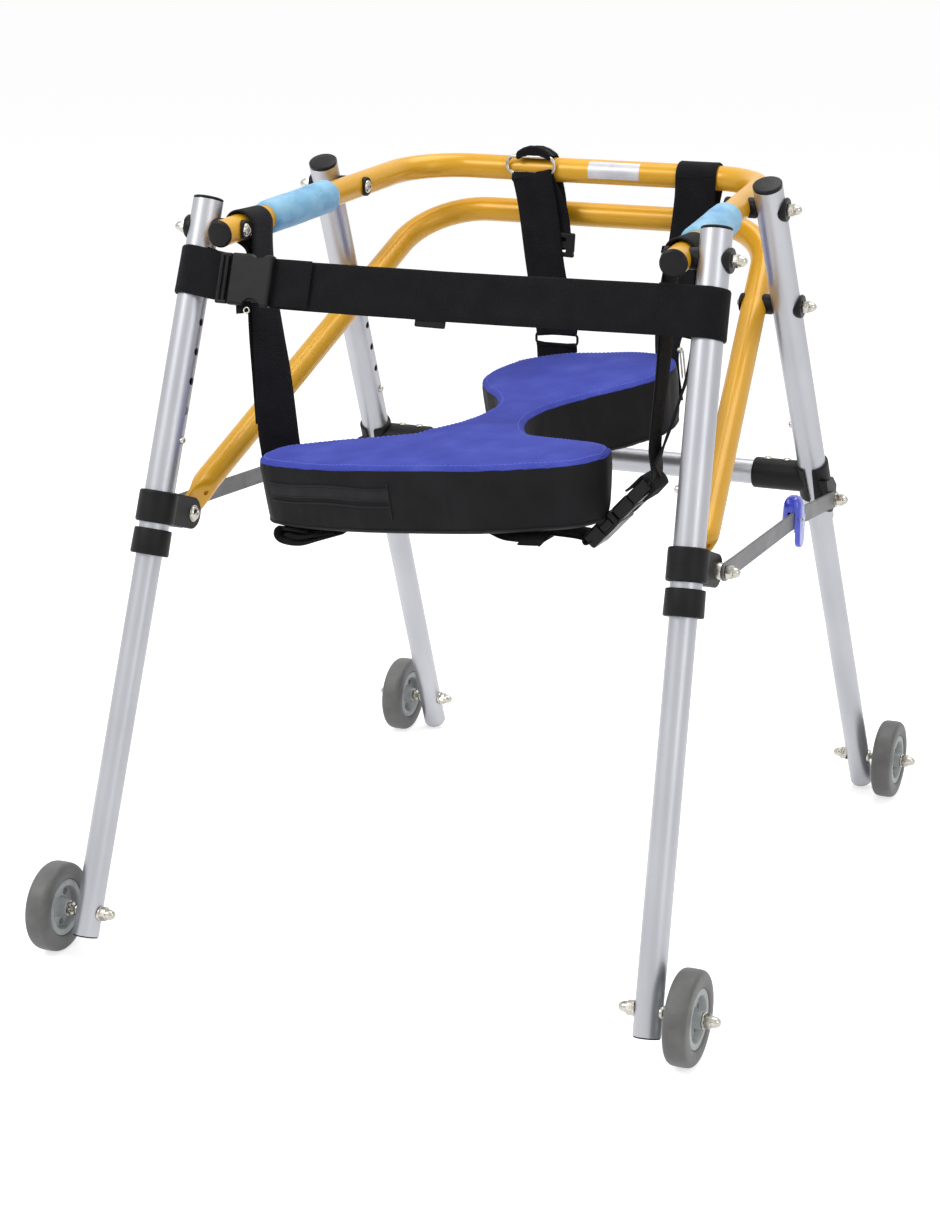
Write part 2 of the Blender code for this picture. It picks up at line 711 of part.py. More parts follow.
def build_rear(word, side):
    turn = REAR.frame(TEE_T, side)
    tee = add("tee_clamp_" + word, rod(-TEE_H / 2, TEE_H / 2, TEE_R, ROUND), BLACK, "rear_legs", turn)
    bar = REAR.at(TEE_T, 1)
    reach = bar.x - TEE_REACH
    sleeve = rod(reach, bar.x - 0.006, CROSS_R + SLEEVE, ROUND + 2)
    boolean(tee, sleeve, "rear_legs", outward((0, bar.y, bar.z), side), "UNION")
    ear = arc((E_Y, E_Z), STAY_EAR_R, -math.pi, 0, 8)
    ear += [(E_Y + STAY_EAR_R, E_Z + STAY_EAR_R), (bar.y + 0.0100, bar.z), (bar.y - 0.0140, bar.z)]
    ear_out = STAY_E_X - STAY_THICK / 2 - GAP
    boolean(tee, plate(ear, side * (EAR_X + 0.0040), side * ear_out), "rear_legs", None, "UNION")
    taper = (TEE_SLOT_TOP - TEE_SLOT_LOW) / 4
    low, high = TEE_SLOT_LOW / 2 - taper, TEE_SLOT_TOP / 2 + taper
    wedge = [(-low, -TEE_H), (low, -TEE_H), (high, TEE_H), (-high, TEE_H)]
    slot = plate(wedge, -1.5 * TEE_R, 0.0)
    boolean(tee, slot, "rear_legs", turn @ Matrix.Rotation(math.pi / 2, 4, "Z"))
    boolean(tee, rod(-2.2 * TEE_H, TEE_H, UPPER_R + GAP, ROUND), "rear_legs", turn)
    bore = rod(reach - 0.01, bar.x - UPPER_R - 0.0030, CROSS_R + GAP, ROUND)
    boolean(tee, bore, "rear_legs", outward((0, bar.y, bar.z), side))
    stud = lathe(
        [
            (EAR_X + UPPER_R + 0.0008, 0.0),
            (EAR_X + UPPER_R + 0.0008, BOLT_R),
            (STAY_E_X + STAY_THICK / 2 + GAP, BOLT_R),
            (STAY_E_X + STAY_THICK / 2 + GAP, 0.0068),
            (STAY_E_X + 0.0028, 0.0064),
            (STAY_E_X + 0.0028, 0.0055),
            (STAY_E_X + 0.0062, 0.0055),
            (STAY_E_X + 0.0086, 0.0040),
            (STAY_E_X + 0.0098, 0.0),
        ],
        SMALL,
    )
    boolean(tee, pins([(side * STAY_E_X, E_Y, E_Z)], BOLT_R + GAP, 0.03), "rear_legs")
    add("stay_stud_" + word, stud, STEEL, "rear_legs", outward((0, E_Y, E_Z), side))
    rail_in, rail_out = -RAIL_INSET - RAIL_R, -RAIL_INSET + RAIL_R
    spacer = (rail_out + 0.0009, -UPPER_R - 0.0007)
    pivot_bolt("rear_pivot_bolt_" + word, REAR.at(0, side), side, "rear_legs", rail_in, *spacer)
    arm_in, arm_out = -BRACE_D_IN - RAIL_R - 0.0006, -BRACE_D_IN + RAIL_R + 0.0014
    at_d = REAR.at(BRACE_D_T, side)
    pivot_bolt("brace_bolt_" + word, at_d, side, "rear_legs", arm_in, arm_out, -UPPER_R - 0.0008)


def build_brace():
    slope = math.atan2(BRACE_REAR_Z - C_Z, BRACE_REAR_Y - C_Y)
    depth = math.hypot(BRACE_REAR_Z - C_Z, BRACE_REAR_Y - C_Y)
    to_d = math.hypot(D_Z - C_Z, D_Y - C_Y)
    flare = math.atan2(BRACE_END_X - BRACE_D_X, to_d - BRACE_KINK)
    corner = BRACE_END_X - (depth - BRACE_KINK) * math.tan(flare)
    sweep = math.pi / 2 - flare
    used = BRACE_BEND * math.tan(sweep / 2)
    kink = BRACE_KINK_R * math.tan(flare / 2)
    grow = Bender(depth, RAIL_R, RAIL_R - WALL)
    grow.run(corner - used)
    grow.turn(-sweep, BRACE_BEND, 4)
    grow.run((depth - BRACE_KINK) / math.cos(flare) - used - kink)
    grow.turn(-flare, BRACE_KINK_R, 2)
    grow.run(BRACE_TAPER)
    wide, flat = BRACE_FLAT_W / 2, BRACE_FLAT / 2
    grow.squeeze(((wide, flat), (wide - WALL, flat - WALL - GAP)))
    grow.run(BRACE_KINK - kink - BRACE_TAPER)
    grow.nose()
    place = Matrix.Translation((0, C_Y, C_Z)) @ Matrix.Rotation(slope, 4, "X")
    brace = add("brace", grow.close(), YELLOW, "brace_body", place)
    boolean(brace, pins([(0, D_Y, D_Z)], BOLT_R + GAP, 0.6), "brace_body")
    ends = [(side * BRACE_END_X, C_Y, C_Z) for _, side in SIDES]
    boolean(brace, pins(ends, BRACE_HOLE_R, 4 * BRACE_FLAT), "brace_body")
    ahead = Vector((0, math.cos(slope), math.sin(slope)))
    reach, radius = BRACE_SMALL_HOLE
    small = [Vector(p) + ahead * reach for p in ends]
    boolean(brace, pins(small, radius, 4 * UPPER_R), "brace_body")


def stay_bar(length, x_start, x_end):
    """A flat bar with round ends, its holes at local y = 0 and y = length, joggled along X."""
    half = STAY_W / 2
    cut = 0.016
    bm = bmesh.new()
    rear = [(cut, half)] + arc((0, 0), half, math.pi / 2, 3 * math.pi / 2, 8) + [(cut, -half)]
    front = arc((length, 0), half, -math.pi / 2, math.pi / 2, 8)
    front = [(length - cut, -half)] + front + [(length - cut, half)]
    low = [bm.verts.new((0, y, z)) for y, z in rear]
    high = [bm.verts.new((0, y, z)) for y, z in front]
    faces = [bm.faces.new(low), bm.faces.new((low[-1], high[0], high[-1], low[0])), bm.faces.new(high)]
    grown = bmesh.ops.extrude_face_region(bm, geom=faces)
    moved = [v for v in grown["geom"] if isinstance(v, bmesh.types.BMVert)]
    bmesh.ops.translate(bm, verts=moved, vec=(STAY_THICK, 0, 0))
    for v in bm.verts:
        v.co.x += x_start - STAY_THICK / 2 if v.co.y <= cut + FINE else x_end - STAY_THICK / 2
    return bm


def toward(y, z, to_y, to_z):
    return Matrix.Translation((0, y, z)) @ Matrix.Rotation(math.atan2(to_z - z, to_y - y), 4, "X")


def build_stays(word, side):
    mirror = Matrix.Diagonal((side, 1, 1, 1))
    bars = (
        ("stay_long", STAY_LONG, STAY_C_X, KNEE_LONG_X, (C_Y, C_Z)),
        ("stay_short", STAY_SHORT, STAY_E_X, KNEE_SHORT_X, (E_Y, E_Z)),
    )
    for name, length, x_start, x_end, spot in bars:
        bm = stay_bar(length, x_start, x_end)
        bmesh.ops.transform(bm, matrix=mirror, verts=bm.verts)
        on = name + "_body_" + word
        bar = add(name + "_" + word, bm, STAY, on, toward(*spot, KNEE_Y, KNEE_Z), False)
        boolean(bar, pins([(side * x_start, *spot)], BOLT_R + GAP, 0.012), on)
        if name == "stay_long":
            pin = rod(KNEE_LONG_X - STAY_THICK / 2 + 0.0005, KNEE_TIP_X, BOLT_R)
            boolean(bar, pin, on, outward((0, KNEE_Y, KNEE_Z), side), "UNION")
    low, high = KNEE_SHORT_X - STAY_THICK / 2 - 0.0045, KNEE_LONG_X + STAY_THICK / 2 + GAP
    profile = [
        (low, 0.0120),
        (high, 0.0120),
        (high, -0.0210),
        (high + 0.0016, -0.0225),
        (high + 0.0036, -0.0210),
        (high + 0.0036, 0.0180),
        (high + 0.0010, 0.0225),
        (low + 0.0030, 0.0225),
        (low, 0.0190),
    ]
    bm = bmesh.new()
    face = bm.faces.new([bm.verts.new((side * x, -LEVER_HALF, z)) for x, z in profile])
    grown = bmesh.ops.extrude_face_region(bm, geom=[face])
    moved = [v for v in grown["geom"] if isinstance(v, bmesh.types.BMVert)]
    bmesh.ops.translate(bm, verts=moved, vec=(0, 2 * LEVER_HALF, 0))
    place = Matrix.Translation((0, KNEE_Y, KNEE_Z))
    on = "lever_body_" + word
    lever = add("lock_lever_" + word, bm, LEVER, on, place, False)
    boolean(lever, pins([(side * (high + 0.002), KNEE_Y, KNEE_Z)], BOLT_R + GAP, 0.012), on)


def build_belt():
    middle = (FRONT.at(BELT_T, -1) + FRONT.at(BELT_T, 1)) / 2
    turn = Matrix.Translation(middle) @ Matrix.Rotation(-FRONT_LEAN, 4, "X")
    inner = UPPER_R + GAP
    outer = inner + WEB_T
    half = FRONT.at(BELT_T, 1).x
    front = box((2 * half, WEB_T, WEB_W - 0.0024), (0, -(inner + outer) / 2 - GAP, 0))
    belt = add("waist_belt", front, WEBBING, "front_legs", turn)
    for word, side in SIDES:
        ring = tube(-WEB_W / 2, WEB_W / 2, outer, inner)
        boolean(belt, ring, "front_legs", FRONT.frame(BELT_T, side), "UNION")
    case = box(BUCKLE, (BUCKLE_X, -outer - BUCKLE[1] / 2 - 2 * GAP, 0.001), 0.0025, 2)
    add("belt_buckle", case, BLACK, "front_legs", turn)


def strap(name, frame, path):
    """A webbing band round a straight part of the rail with its hanging run fused to it."""
    inner = RAIL_R + GAP
    made = add(name, ribbon(path, WEB_W, WEB_T), WEBBING, "rail", None, False)
    boolean(made, rod(-WEB_W / 2 + FINE, WEB_W / 2 - FINE, inner + WEB_T, ROUND), "rail", frame, "UNION")
    boolean(made, rod(-WEB_W, WEB_W, inner, ROUND), "rail", frame)


SEAT_TURN = Matrix.Rotation(-0.0806, 4, "Z") @ Matrix.Rotation(0.0631, 4, "X")
SEAT_TURN = SEAT_TURN @ Matrix.Rotation(-0.1044, 4, "Y")
SEAT_PLACE = Matrix.Translation((0.0079, -0.0939, 0.4303)) @ SEAT_TURN


def on_seat(x, v, z, facing):
    """A point of webbing against the seat's side at (x, v), which faces the given way, and its width
    direction."""
    out = Vector((*facing, 0)).normalized()
    spot = Vector((x, v - SEAT_MID, z)) + out * (WEB_T / 2 + GAP)
    across = Vector((out.y, -out.x, 0))
    return SEAT_PLACE @ spot, SEAT_TURN @ (across if across.x + across.y > 0 else -across)


def build_seat():
    front_w, front_d, neck_w, neck_v, rear_w, length = 0.1579, 0.1068, 0.0266, 0.2023, 0.0917, 0.3985
    half_widths = [
        (0.000, 0.030),
        (0.006, 0.092),
        (0.020, 0.138),
        (0.040, 0.1560),
        (0.056, front_w),
        (0.078, 0.1500),
        (0.096, 0.1200),
        (front_d, 0.0860),
        (0.122, 0.0580),
        (0.150, 0.0390),
        (0.178, 0.0290),
        (neck_v, neck_w),
        (0.232, 0.0320),
        (0.262, 0.0480),
        (0.288, 0.0720),
        (0.315, 0.0890),
        (0.345, rear_w),
        (0.375, 0.0800),
        (0.392, 0.0560),
        (length, 0.0300),
    ]
    drop, pull, chamfer = SEAT_THICK, 0.0120, 0.0040
    rings = []
    for v, half in half_widths:
        rise = max(v - 0.2554, 0.0) * 0.0768
        low = max(half - pull, half * 0.7)
        end = 0.010 if v in (0.0, length) else 0.0
        shift = 0.006 if v == 0.0 else (-0.006 if v == length else 0.0)
        ring = [
            (-half + chamfer, v + shift * 0.4, rise - end * 0.1),
            (half - chamfer, v + shift * 0.4, rise - end * 0.1),
            (half, v, rise - chamfer),
            (low, v + shift, rise - drop + chamfer),
            (low - chamfer, v + shift, rise - drop),
            (-low + chamfer, v + shift, rise - drop),
            (-low, v + shift, rise - drop + chamfer),
            (-half, v, rise - chamfer),
        ]
        rings.append(ring)
    bm = loft(rings)
    bmesh.ops.translate(bm, verts=bm.verts, vec=(0, -SEAT_MID, 0))
    add("seat", bm, CLOTH, "rail", SEAT_PLACE, False)


def build_straps():
    top = RAIL_R + GAP + WEB_T * 0.3
    x, z = rail_x(LOOP_Y), rail_z(LOOP_Y) - top
    along = (0, 1, 0)
    path = [((-x, LOOP_Y, z), along), ((-0.1840, -0.1400, 0.520), along)]
    path += [on_seat(-0.150, 0.078, rise, (-0.835, 0.55)) for rise in (0.030, -0.003)]
    strap("strap_front_left", rail_frame(LOOP_Y, -1), path)
    path = [((x, LOOP_Y, z), along), ((0.1885, -0.1480, 0.520), along), ((0.1868, -0.1680, 0.4212), along)]
    strap("strap_front_right", rail_frame(LOOP_Y, 1), path)
    z = rail_z(RAIL_REAR_Y)
    room = rail_x(RAIL_REAR_Y) - RAIL_USED - WEB_W / 2 + 2 * GAP
    rear = (("left", -1, REAR_LOOPS[0], 0.0050), ("right", 1, min(REAR_LOOPS[1], room), -0.0015))
    for word, side, x, drift in rear:
        hang = Vector((x + drift, RAIL_REAR_Y - 0.0050, 0.5650))
        path = [((x, RAIL_REAR_Y, z - top), (1, 0, 0)), (hang, (1, 0, 0))]
        path += [on_seat(side * 0.056, 0.392, rise, (side * 0.425, 0.905)) for rise in (0.020, -0.003)]
        strap("strap_rear_" + word, outward((x, RAIL_REAR_Y, z), 1), path)
        if side < 0:
            down = path[2][0] - hang
            lean = Matrix.Rotation(math.atan2(down.y, -down.z), 4, "X")
            at = hang + down * SLIDE_DOWN + Vector((0.0050, 0, 0))
    slide = box(SLIDE_SIZE, (0, SLIDE_SIZE[1] / 2 + 1.5 * WEB_T, 0), 0.001)
    add("strap_slide", slide, BLACK, "rail", Matrix.Translation(at) @ lean, False)
    buckle = box((0.012, WEB_W, 0.082), (0, 0, 0), 0.002)
    place = Matrix.Translation((0.1618, -0.168, 0.3836)) @ Matrix.Rotation(math.radians(37.4), 4, "Y")
    add("seat_buckle", buckle, BLACK, "rail", place, False)


build_rail()
build_brace()
bar_at = REAR.at(TEE_T, 1)
bar_reach = bar_at.x - UPPER_R - 0.0034
cross = tube(-bar_reach, bar_reach, CROSS_R, CROSS_R - WALL)
add("cross_bar", cross, ALUMINIUM, "rear_legs", outward((0, bar_at.y, bar_at.z), 1))
front_lower = (FRONT_BUTTON - OVERLAP_UP, FRONT_LOWER_END, FRONT_AXLE, FRONT_BUTTON)
rear_lower = (REAR_BUTTON - REAR_OVERLAP_UP, REAR_LOWER_END, REAR_AXLE, REAR_BUTTON)
for word, side in SIDES:
    build_upper(FRONT, "front", word, side, FRONT_TOP, FRONT_TUBE_END, FRONT_BUTTON, 0.0030)
    build_upper(REAR, "rear", word, side, REAR_TOP, REAR_TUBE_END, REAR_BUTTON, 0.0040)
    build_front(word, side)
    build_rear(word, side)
    build_lower(FRONT, "front", word, side, *front_lower)
    build_lower(REAR, "rear", word, side, *rear_lower)
    build_stays(word, side)
build_belt()
build_seat()
build_straps()
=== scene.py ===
import json
import math

import bmesh
import bpy
from mathutils import Matrix, Vector, noise


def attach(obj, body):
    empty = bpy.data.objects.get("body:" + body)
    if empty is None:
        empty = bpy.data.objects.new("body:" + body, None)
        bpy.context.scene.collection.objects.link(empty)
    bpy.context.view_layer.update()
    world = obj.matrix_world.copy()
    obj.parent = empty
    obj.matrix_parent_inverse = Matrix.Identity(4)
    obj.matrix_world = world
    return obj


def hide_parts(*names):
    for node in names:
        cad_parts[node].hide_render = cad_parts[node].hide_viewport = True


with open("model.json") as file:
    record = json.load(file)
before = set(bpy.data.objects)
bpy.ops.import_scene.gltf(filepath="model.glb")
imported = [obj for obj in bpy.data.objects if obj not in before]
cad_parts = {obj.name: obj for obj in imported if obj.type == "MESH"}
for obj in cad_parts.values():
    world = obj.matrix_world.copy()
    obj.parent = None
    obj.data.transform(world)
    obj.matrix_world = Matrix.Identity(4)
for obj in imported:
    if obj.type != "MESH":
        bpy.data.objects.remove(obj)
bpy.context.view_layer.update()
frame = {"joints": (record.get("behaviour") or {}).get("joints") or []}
JOINTS = {joint["name"]: joint for joint in frame["joints"]}
SIDES = (("left", -1), ("right", 1))

# the camera, solved on the tubes, the pivots and the wheels
IMAGE_W, IMAGE_H = 940, 1215
CAMERA_AT = Vector((0.8361, -2.0999, 0.8602))
CAMERA_YAW, CAMERA_PITCH, CAMERA_ROLL = -0.398330, -0.264446, 0.009404
FOCAL_PX = 2619.1
CENTRE_PX = (468.7, 604.7)
SENSOR = 36.0

# sizes in metres, as the frame's own pieces have them
UPPER_R, LOWER_R, WALL = 0.0127, 0.0111, 0.0013
RAIL_R = 0.0111
RAIL_INSET = 0.0278
WHEEL_OUT = 0.0314
WHEEL_R, WHEEL_W, RIM_R = 0.0378, 0.0190, 0.0240
BOLT_R = 0.0030
WEB_W, WEB_T = 0.0380, 0.0018
GAP, FIT = 0.0003, 0.0001      # clearances: between pieces, and of a bore round its tube or bolt
BOLT_HOLE = 0.0031               # the hole of a nut, washer or spacer round a bolt


def point_of(joint):
    return Vector(JOINTS[joint]["pos_m"])


A = point_of("fold")
B = point_of("rear_fold")
D = point_of("brace_fold")
C = {word: point_of("stay_long_fold_" + word) for word, _ in SIDES}
E = {word: point_of("stay_short_fold_" + word) for word, _ in SIDES}
K = {word: point_of("lock_lever_lift_" + word) for word, _ in SIDES}


# mesh helpers

def linked(name, data):
    """A new object in the scene."""
    made = bpy.data.objects.new(name, data)
    bpy.context.scene.collection.objects.link(made)
    return made


def meshed(name, bm):
    """A new mesh from the bmesh, which is freed."""
    mesh = bpy.data.meshes.new(name)
    bm.to_mesh(mesh)
    bm.free()
    return mesh


def piece(name, bm, look, body, place=None, replaces=(), sharp=38, weighted=False):
    """Links a bmesh as a shown piece that rides on a body; place is its matrix at rest."""
    bmesh.ops.recalc_face_normals(bm, faces=bm.faces)
    mesh = meshed(name, bm)
    made = linked(name, mesh)
    made.matrix_world = place or Matrix.Identity(4)
    mesh.materials.append(look)
    mesh.shade_smooth()
    if sharp:
        mesh.set_sharp_from_angle(angle=math.radians(sharp))
    if weighted:
        step = made.modifiers.new("even", "WEIGHTED_NORMAL")
        step.keep_sharp = True
    if body:
        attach(made, body)
    if replaces:
        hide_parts(*replaces)
    return made


def eased(points, radius=0.0004, closed=False):
    """The outline with its inner corners rounded by short curves; a third value of a point goes along."""
    count, steps = len(points), 3
    made = []
    for k, here in enumerate(points):
        if not closed and k in (0, count - 1):
            made.append(tuple(here))
            continue
        before, after = Vector(points[k - 1][:2]), Vector(points[(k + 1) % count][:2])
        at = Vector(here[:2])
        reach = min(radius, (before - at).length * 0.45, (after - at).length * 0.45)
        if reach < 1e-6:
            made.append(tuple(here))
            continue
        low = at + (before - at).normalized() * reach
        high = at + (after - at).normalized() * reach
        for s in range(steps + 1):
            t = s / steps
            spot = low * (1 - t) ** 2 + at * 2 * t * (1 - t) + high * t**2
            made.append((*spot, *here[2:]))
    return made


def turned(profile, steps=64, closed=False, ease=0.0004):
    """A piece turned about local Z from (along, radius[, hexagon's half width across flats]) points."""
    rows = eased(profile, ease, closed=closed) if ease else profile
    bm = bmesh.new()
    rings = []
    for row in rows:
        along, radius = row[0], row[1]
        if radius < 1e-7:
            rings.append([bm.verts.new((0, 0, along))])
            continue
        ring = []
        for k in range(steps):
            angle = math.tau * k / steps
            reach = radius
            if len(row) > 2 and row[2]:
                turn = (angle + math.pi / 6) % (math.pi / 3) - math.pi / 6
                reach = min(radius, row[2] / math.cos(turn))
            ring.append(bm.verts.new((reach * math.cos(angle), reach * math.sin(angle), along)))
        rings.append(ring)
    pairs = list(zip(rings, rings[1:]))
    if closed:
        pairs.append((rings[-1], rings[0]))
    for low, high in pairs:
        for k in range(steps):
            near = (k + 1) % steps
            if len(low) == 1 and len(high) == 1:
                break
            if len(low) == 1:
                bm.faces.new((low[0], high[near], high[k]))
            elif len(high) == 1:
                bm.faces.new((low[k], low[near], high[0]))
            else:
                bm.faces.new((low[k], low[near], high[near], high[k]))
    if not closed:
        for ring in (rings[0], rings[-1]):
            if len(ring) > 1:
                bm.faces.new(ring)
    return bm


def lofted(rings, closed=False):
    """Rings of equally many points joined in a row, capped unless closed on themselves."""
    bm = bmesh.new()
    rows = [[bm.verts.new(point) for point in ring] for ring in rings]
    pairs = list(zip(rows, rows[1:]))
    if closed:
        pairs.append((rows[-1], rows[0]))
    for low, high in pairs:
        for k in range(len(low)):
            near = (k + 1) % len(low)
            bm.faces.new((low[k], low[near], high[near], high[k]))
    if not closed:
        bm.faces.new(rows[0])
        bm.faces.new(rows[-1][::-1])
    return bm


def smooth_path(points, per=8):
    """A Catmull-Rom curve through the points."""
    points = [Vector(p) for p in points]
    made = []
    for k in range(len(points) - 1):
        p0 = points[max(k - 1, 0)]
        p1, p2 = points[k], points[k + 1]
        p3 = points[min(k + 2, len(points) - 1)]
        for s in range(per):
            t = s / per
            bend, twist = 2 * p0 - 5 * p1 + 4 * p2 - p3, 3 * p1 - p0 - 3 * p2 + p3
            made.append(0.5 * (2 * p1 + (p2 - p0) * t + bend * t**2 + twist * t**3))
    made.append(points[-1])
    return made


def along_path(points, closed=False):
    """(tangent, side, up) at each point, carried along without twist."""
    count = len(points)
    tangents = []
    for k in range(count):
        if closed:
            step = points[(k + 1) % count] - points[k - 1]
        else:
            step = points[min(k + 1, count - 1)] - points[max(k - 1, 0)]
        tangents.append(step.normalized())
    first = Vector((0, 0, 1)) if abs(tangents[0].z) < 0.9 else Vector((1, 0, 0))
    side = tangents[0].cross(first).normalized()
    made = []
    for tangent in tangents:
        side = (side - tangent * side.dot(tangent)).normalized()
        made.append((tangent, side, tangent.cross(side)))
    return made


def swept(points, radius, sides=24, closed=False):
    """A round bar along the points; radius may be a function of the point's number."""
    rings = []
    for k, (point, (_, side, up)) in enumerate(zip(points, along_path(points, closed))):
        r = radius(k) if callable(radius) else radius
        rings.append(
            [
                point + side * r * math.cos(math.tau * s / sides) + up * r * math.sin(math.tau * s / sides)
                for s in range(sides)
            ]
        )
    return lofted(rings, closed)


def webbing(path, width, thick, per):
    """A woven band through (point, width direction) pairs, with rounded selvedges. The attribute
    cloth holds metres along and across it."""
    points = smooth_path([p for p, _ in path], per)
    sides = smooth_path([Vector(s).normalized() for _, s in path], per)
    edge = 0.35
    across = [-0.5, -0.492, -0.46, -0.3, -0.1, 0.1, 0.3, 0.46, 0.492, 0.5]
    lift = [edge * 0.2, edge, 1.12, 1.0, 1.0, 1.0, 1.0, 1.12, edge, edge * 0.2]
    rings, gone, length = [], [], 0.0
    count = len(points)
    for k, point in enumerate(points):
        if k:
            length += (point - points[k - 1]).length
        ahead = (points[min(k + 1, count - 1)] - points[max(k - 1, 0)]).normalized()
        side = sides[k] - ahead * sides[k].dot(ahead)
        side.normalize()
        out = ahead.cross(side)
        ring = [point + side * width * a + out * thick / 2 * h for a, h in zip(across, lift)]
        ring += [point + side * width * a - out * thick / 2 * h for a, h in zip(across[::-1], lift[::-1])]
        rings.append(ring)
        gone += [(length, width * a, 0) for a in across] + [(length, width * a, 1) for a in across[::-1]]
    bm = lofted(rings)
    layer = bm.verts.layers.float_vector.new("cloth")
    for vert, place in zip(bm.verts, gone):
        vert[layer] = place
    return bm


def block(size, centre=(0, 0, 0), bevel=0.0, steps=3):
    bm = bmesh.new()
    bmesh.ops.create_cube(bm, size=1.0)
    bmesh.ops.scale(bm, vec=size, verts=bm.verts)
    bmesh.ops.translate(bm, vec=centre, verts=bm.verts)
    if bevel:
        bmesh.ops.bevel(bm, geom=bm.edges[:], offset=bevel, segments=steps, affect="EDGES", profile=0.5)
    return bm


def slab(outline, low, high, ease=0.0008, steps=3):
    """A closed (y, z) outline pushed along X, with rounded rims."""
    bm = bmesh.new()
    face = bm.faces.new([bm.verts.new((low, y, z)) for y, z in outline])
    grown = bmesh.ops.extrude_face_region(bm, geom=[face])
    moved = [v for v in grown["geom"] if isinstance(v, bmesh.types.BMVert)]
    bmesh.ops.translate(bm, verts=moved, vec=(high - low, 0, 0))
    bmesh.ops.recalc_face_normals(bm, faces=bm.faces)
    if ease:
        rims = [e for e in bm.edges if abs(e.verts[0].co.x - e.verts[1].co.x) < 1e-7]
        bmesh.ops.bevel(bm, geom=rims, offset=ease, segments=steps, affect="EDGES", profile=0.5)
    return bm


def arc(centre, radius, start, end, steps=16):
    return [
        (
            centre[0] + radius * math.cos(start + (end - start) * k / steps),
            centre[1] + radius * math.sin(start + (end - start) * k / steps),
        )
        for k in range(steps + 1)
    ]


def joined(*parts):
    """One bmesh from several."""
    bm = bmesh.new()
    for part in parts:
        mesh = meshed("part", part)
        bm.from_mesh(mesh)
        bpy.data.meshes.remove(mesh)
    return bm


def carved(bm, cuts, adds=()):
    """bm with the adds joined on and then the cuts taken off by exact Booleans, as a new bmesh."""
    objects = []
    for part in (bm, *adds, *cuts):
        bmesh.ops.recalc_face_normals(part, faces=part.faces)
        objects.append(linked("carve", meshed("carve", part)))
    kinds = ["UNION"] * len(adds) + ["DIFFERENCE"] * len(cuts)
    for kind, tool in zip(kinds, objects[1:]):
        step = objects[0].modifiers.new("carve", "BOOLEAN")
        step.operation, step.solver, step.object = kind, "EXACT", tool
    graph = bpy.context.evaluated_depsgraph_get()
    result = bmesh.new()
    result.from_mesh(objects[0].evaluated_get(graph).to_mesh())
    for made in objects:
        mesh = made.data
        bpy.data.objects.remove(made)
        bpy.data.meshes.remove(mesh)
    return result


def bar(radius, low, high, steps=48, ease=0):
    return turned([(low, 0), (low, radius), (high, radius), (high, 0)], steps, ease=ease)


def hollow(start, end, outer, inner, steps=72, ease=0.0003):
    rows = [(start, inner), (start, outer), (end, outer), (end, inner)]
    return turned(rows, steps, closed=True, ease=ease)


def moved(bm, matrix):
    bmesh.ops.transform(bm, matrix=matrix, verts=bm.verts)
    return bm


def outward(place, side):
    """Local Z points away from the middle of the walker, along X."""
    return Matrix.Translation(place) @ Matrix.Rotation(side * math.pi / 2, 4, "Y")


def level_with(spot, side, out=0.0):
    """Outward as above, in line with a point and at a distance from the middle of the walker."""
    return outward(Vector((side * out, spot.y, spot.z)), side)


def flipped(z):
    """Turned upside down at a height."""
    return Matrix.Translation((0, 0, z)) @ Matrix.Rotation(math.pi, 4, "X")


def held(side, *points):
    """Points of a webbing path that share a width direction."""
    return [(point, side) for point in points]


class Leg:
    """One leg's centre line: at(t) is t below its pivot, as seen from the side."""

    def __init__(self, end, word, side, pivot):
        wheel = point_of(f"wheel_spin_{end}_{word}")
        up = Vector(JOINTS[f"leg_length_{end}_{word}"]["axis"]).normalized()
        foot = wheel - Vector((side * WHEEL_OUT, 0, 0))
        self.end, self.word, self.side, self.up = end, word, side, up
        self.step = -up / math.hypot(up.y, up.z)
        self.top = foot + up * ((pivot.z - foot.z) / up.z)
        self.axle = (foot - self.top).length / self.step.length
        self.hub = wheel
        self.lean = math.atan2(up.y, up.z)
        self.label = f"{end}_{word}"

    def at(self, t):
        return self.top + self.step * t

    def frame(self, t=0.0):
        across = (Vector((1, 0, 0)) - self.up * self.up.x).normalized()
        turn = Matrix((across, self.up.cross(across), self.up)).transposed().to_4x4()
        return Matrix.Translation(self.at(t)) @ turn


LEGS = {}
for word, side in SIDES:
    LEGS["front", word] = Leg("front", word, side, A)
    LEGS["rear", word] = Leg("rear", word, side, B)
RAIL_SLOPE = (B.z - A.z) / (B.y - A.y)
RAIL_LEAN = math.atan2(1, RAIL_SLOPE)
RAIL_FLARE = (LEGS["front", "right"].top.x - LEGS["rear", "right"].top.x) / (B.y - A.y)


def rail_x(y):
    return LEGS["front", "right"].top.x - RAIL_INSET - (y - A.y) * RAIL_FLARE


def rail_z(y):
    return A.z + (y - A.y) * RAIL_SLOPE


def rail_frame(y, side):
    ahead = Vector((-side * RAIL_FLARE, 1, RAIL_SLOPE)).normalized()
    across = (Vector((1, 0, 0)) - ahead * ahead.x).normalized()
    turn = Matrix((across, ahead.cross(across), ahead)).transposed().to_4x4()
    return Matrix.Translation((side * rail_x(y), y, rail_z(y))) @ turn


# materials

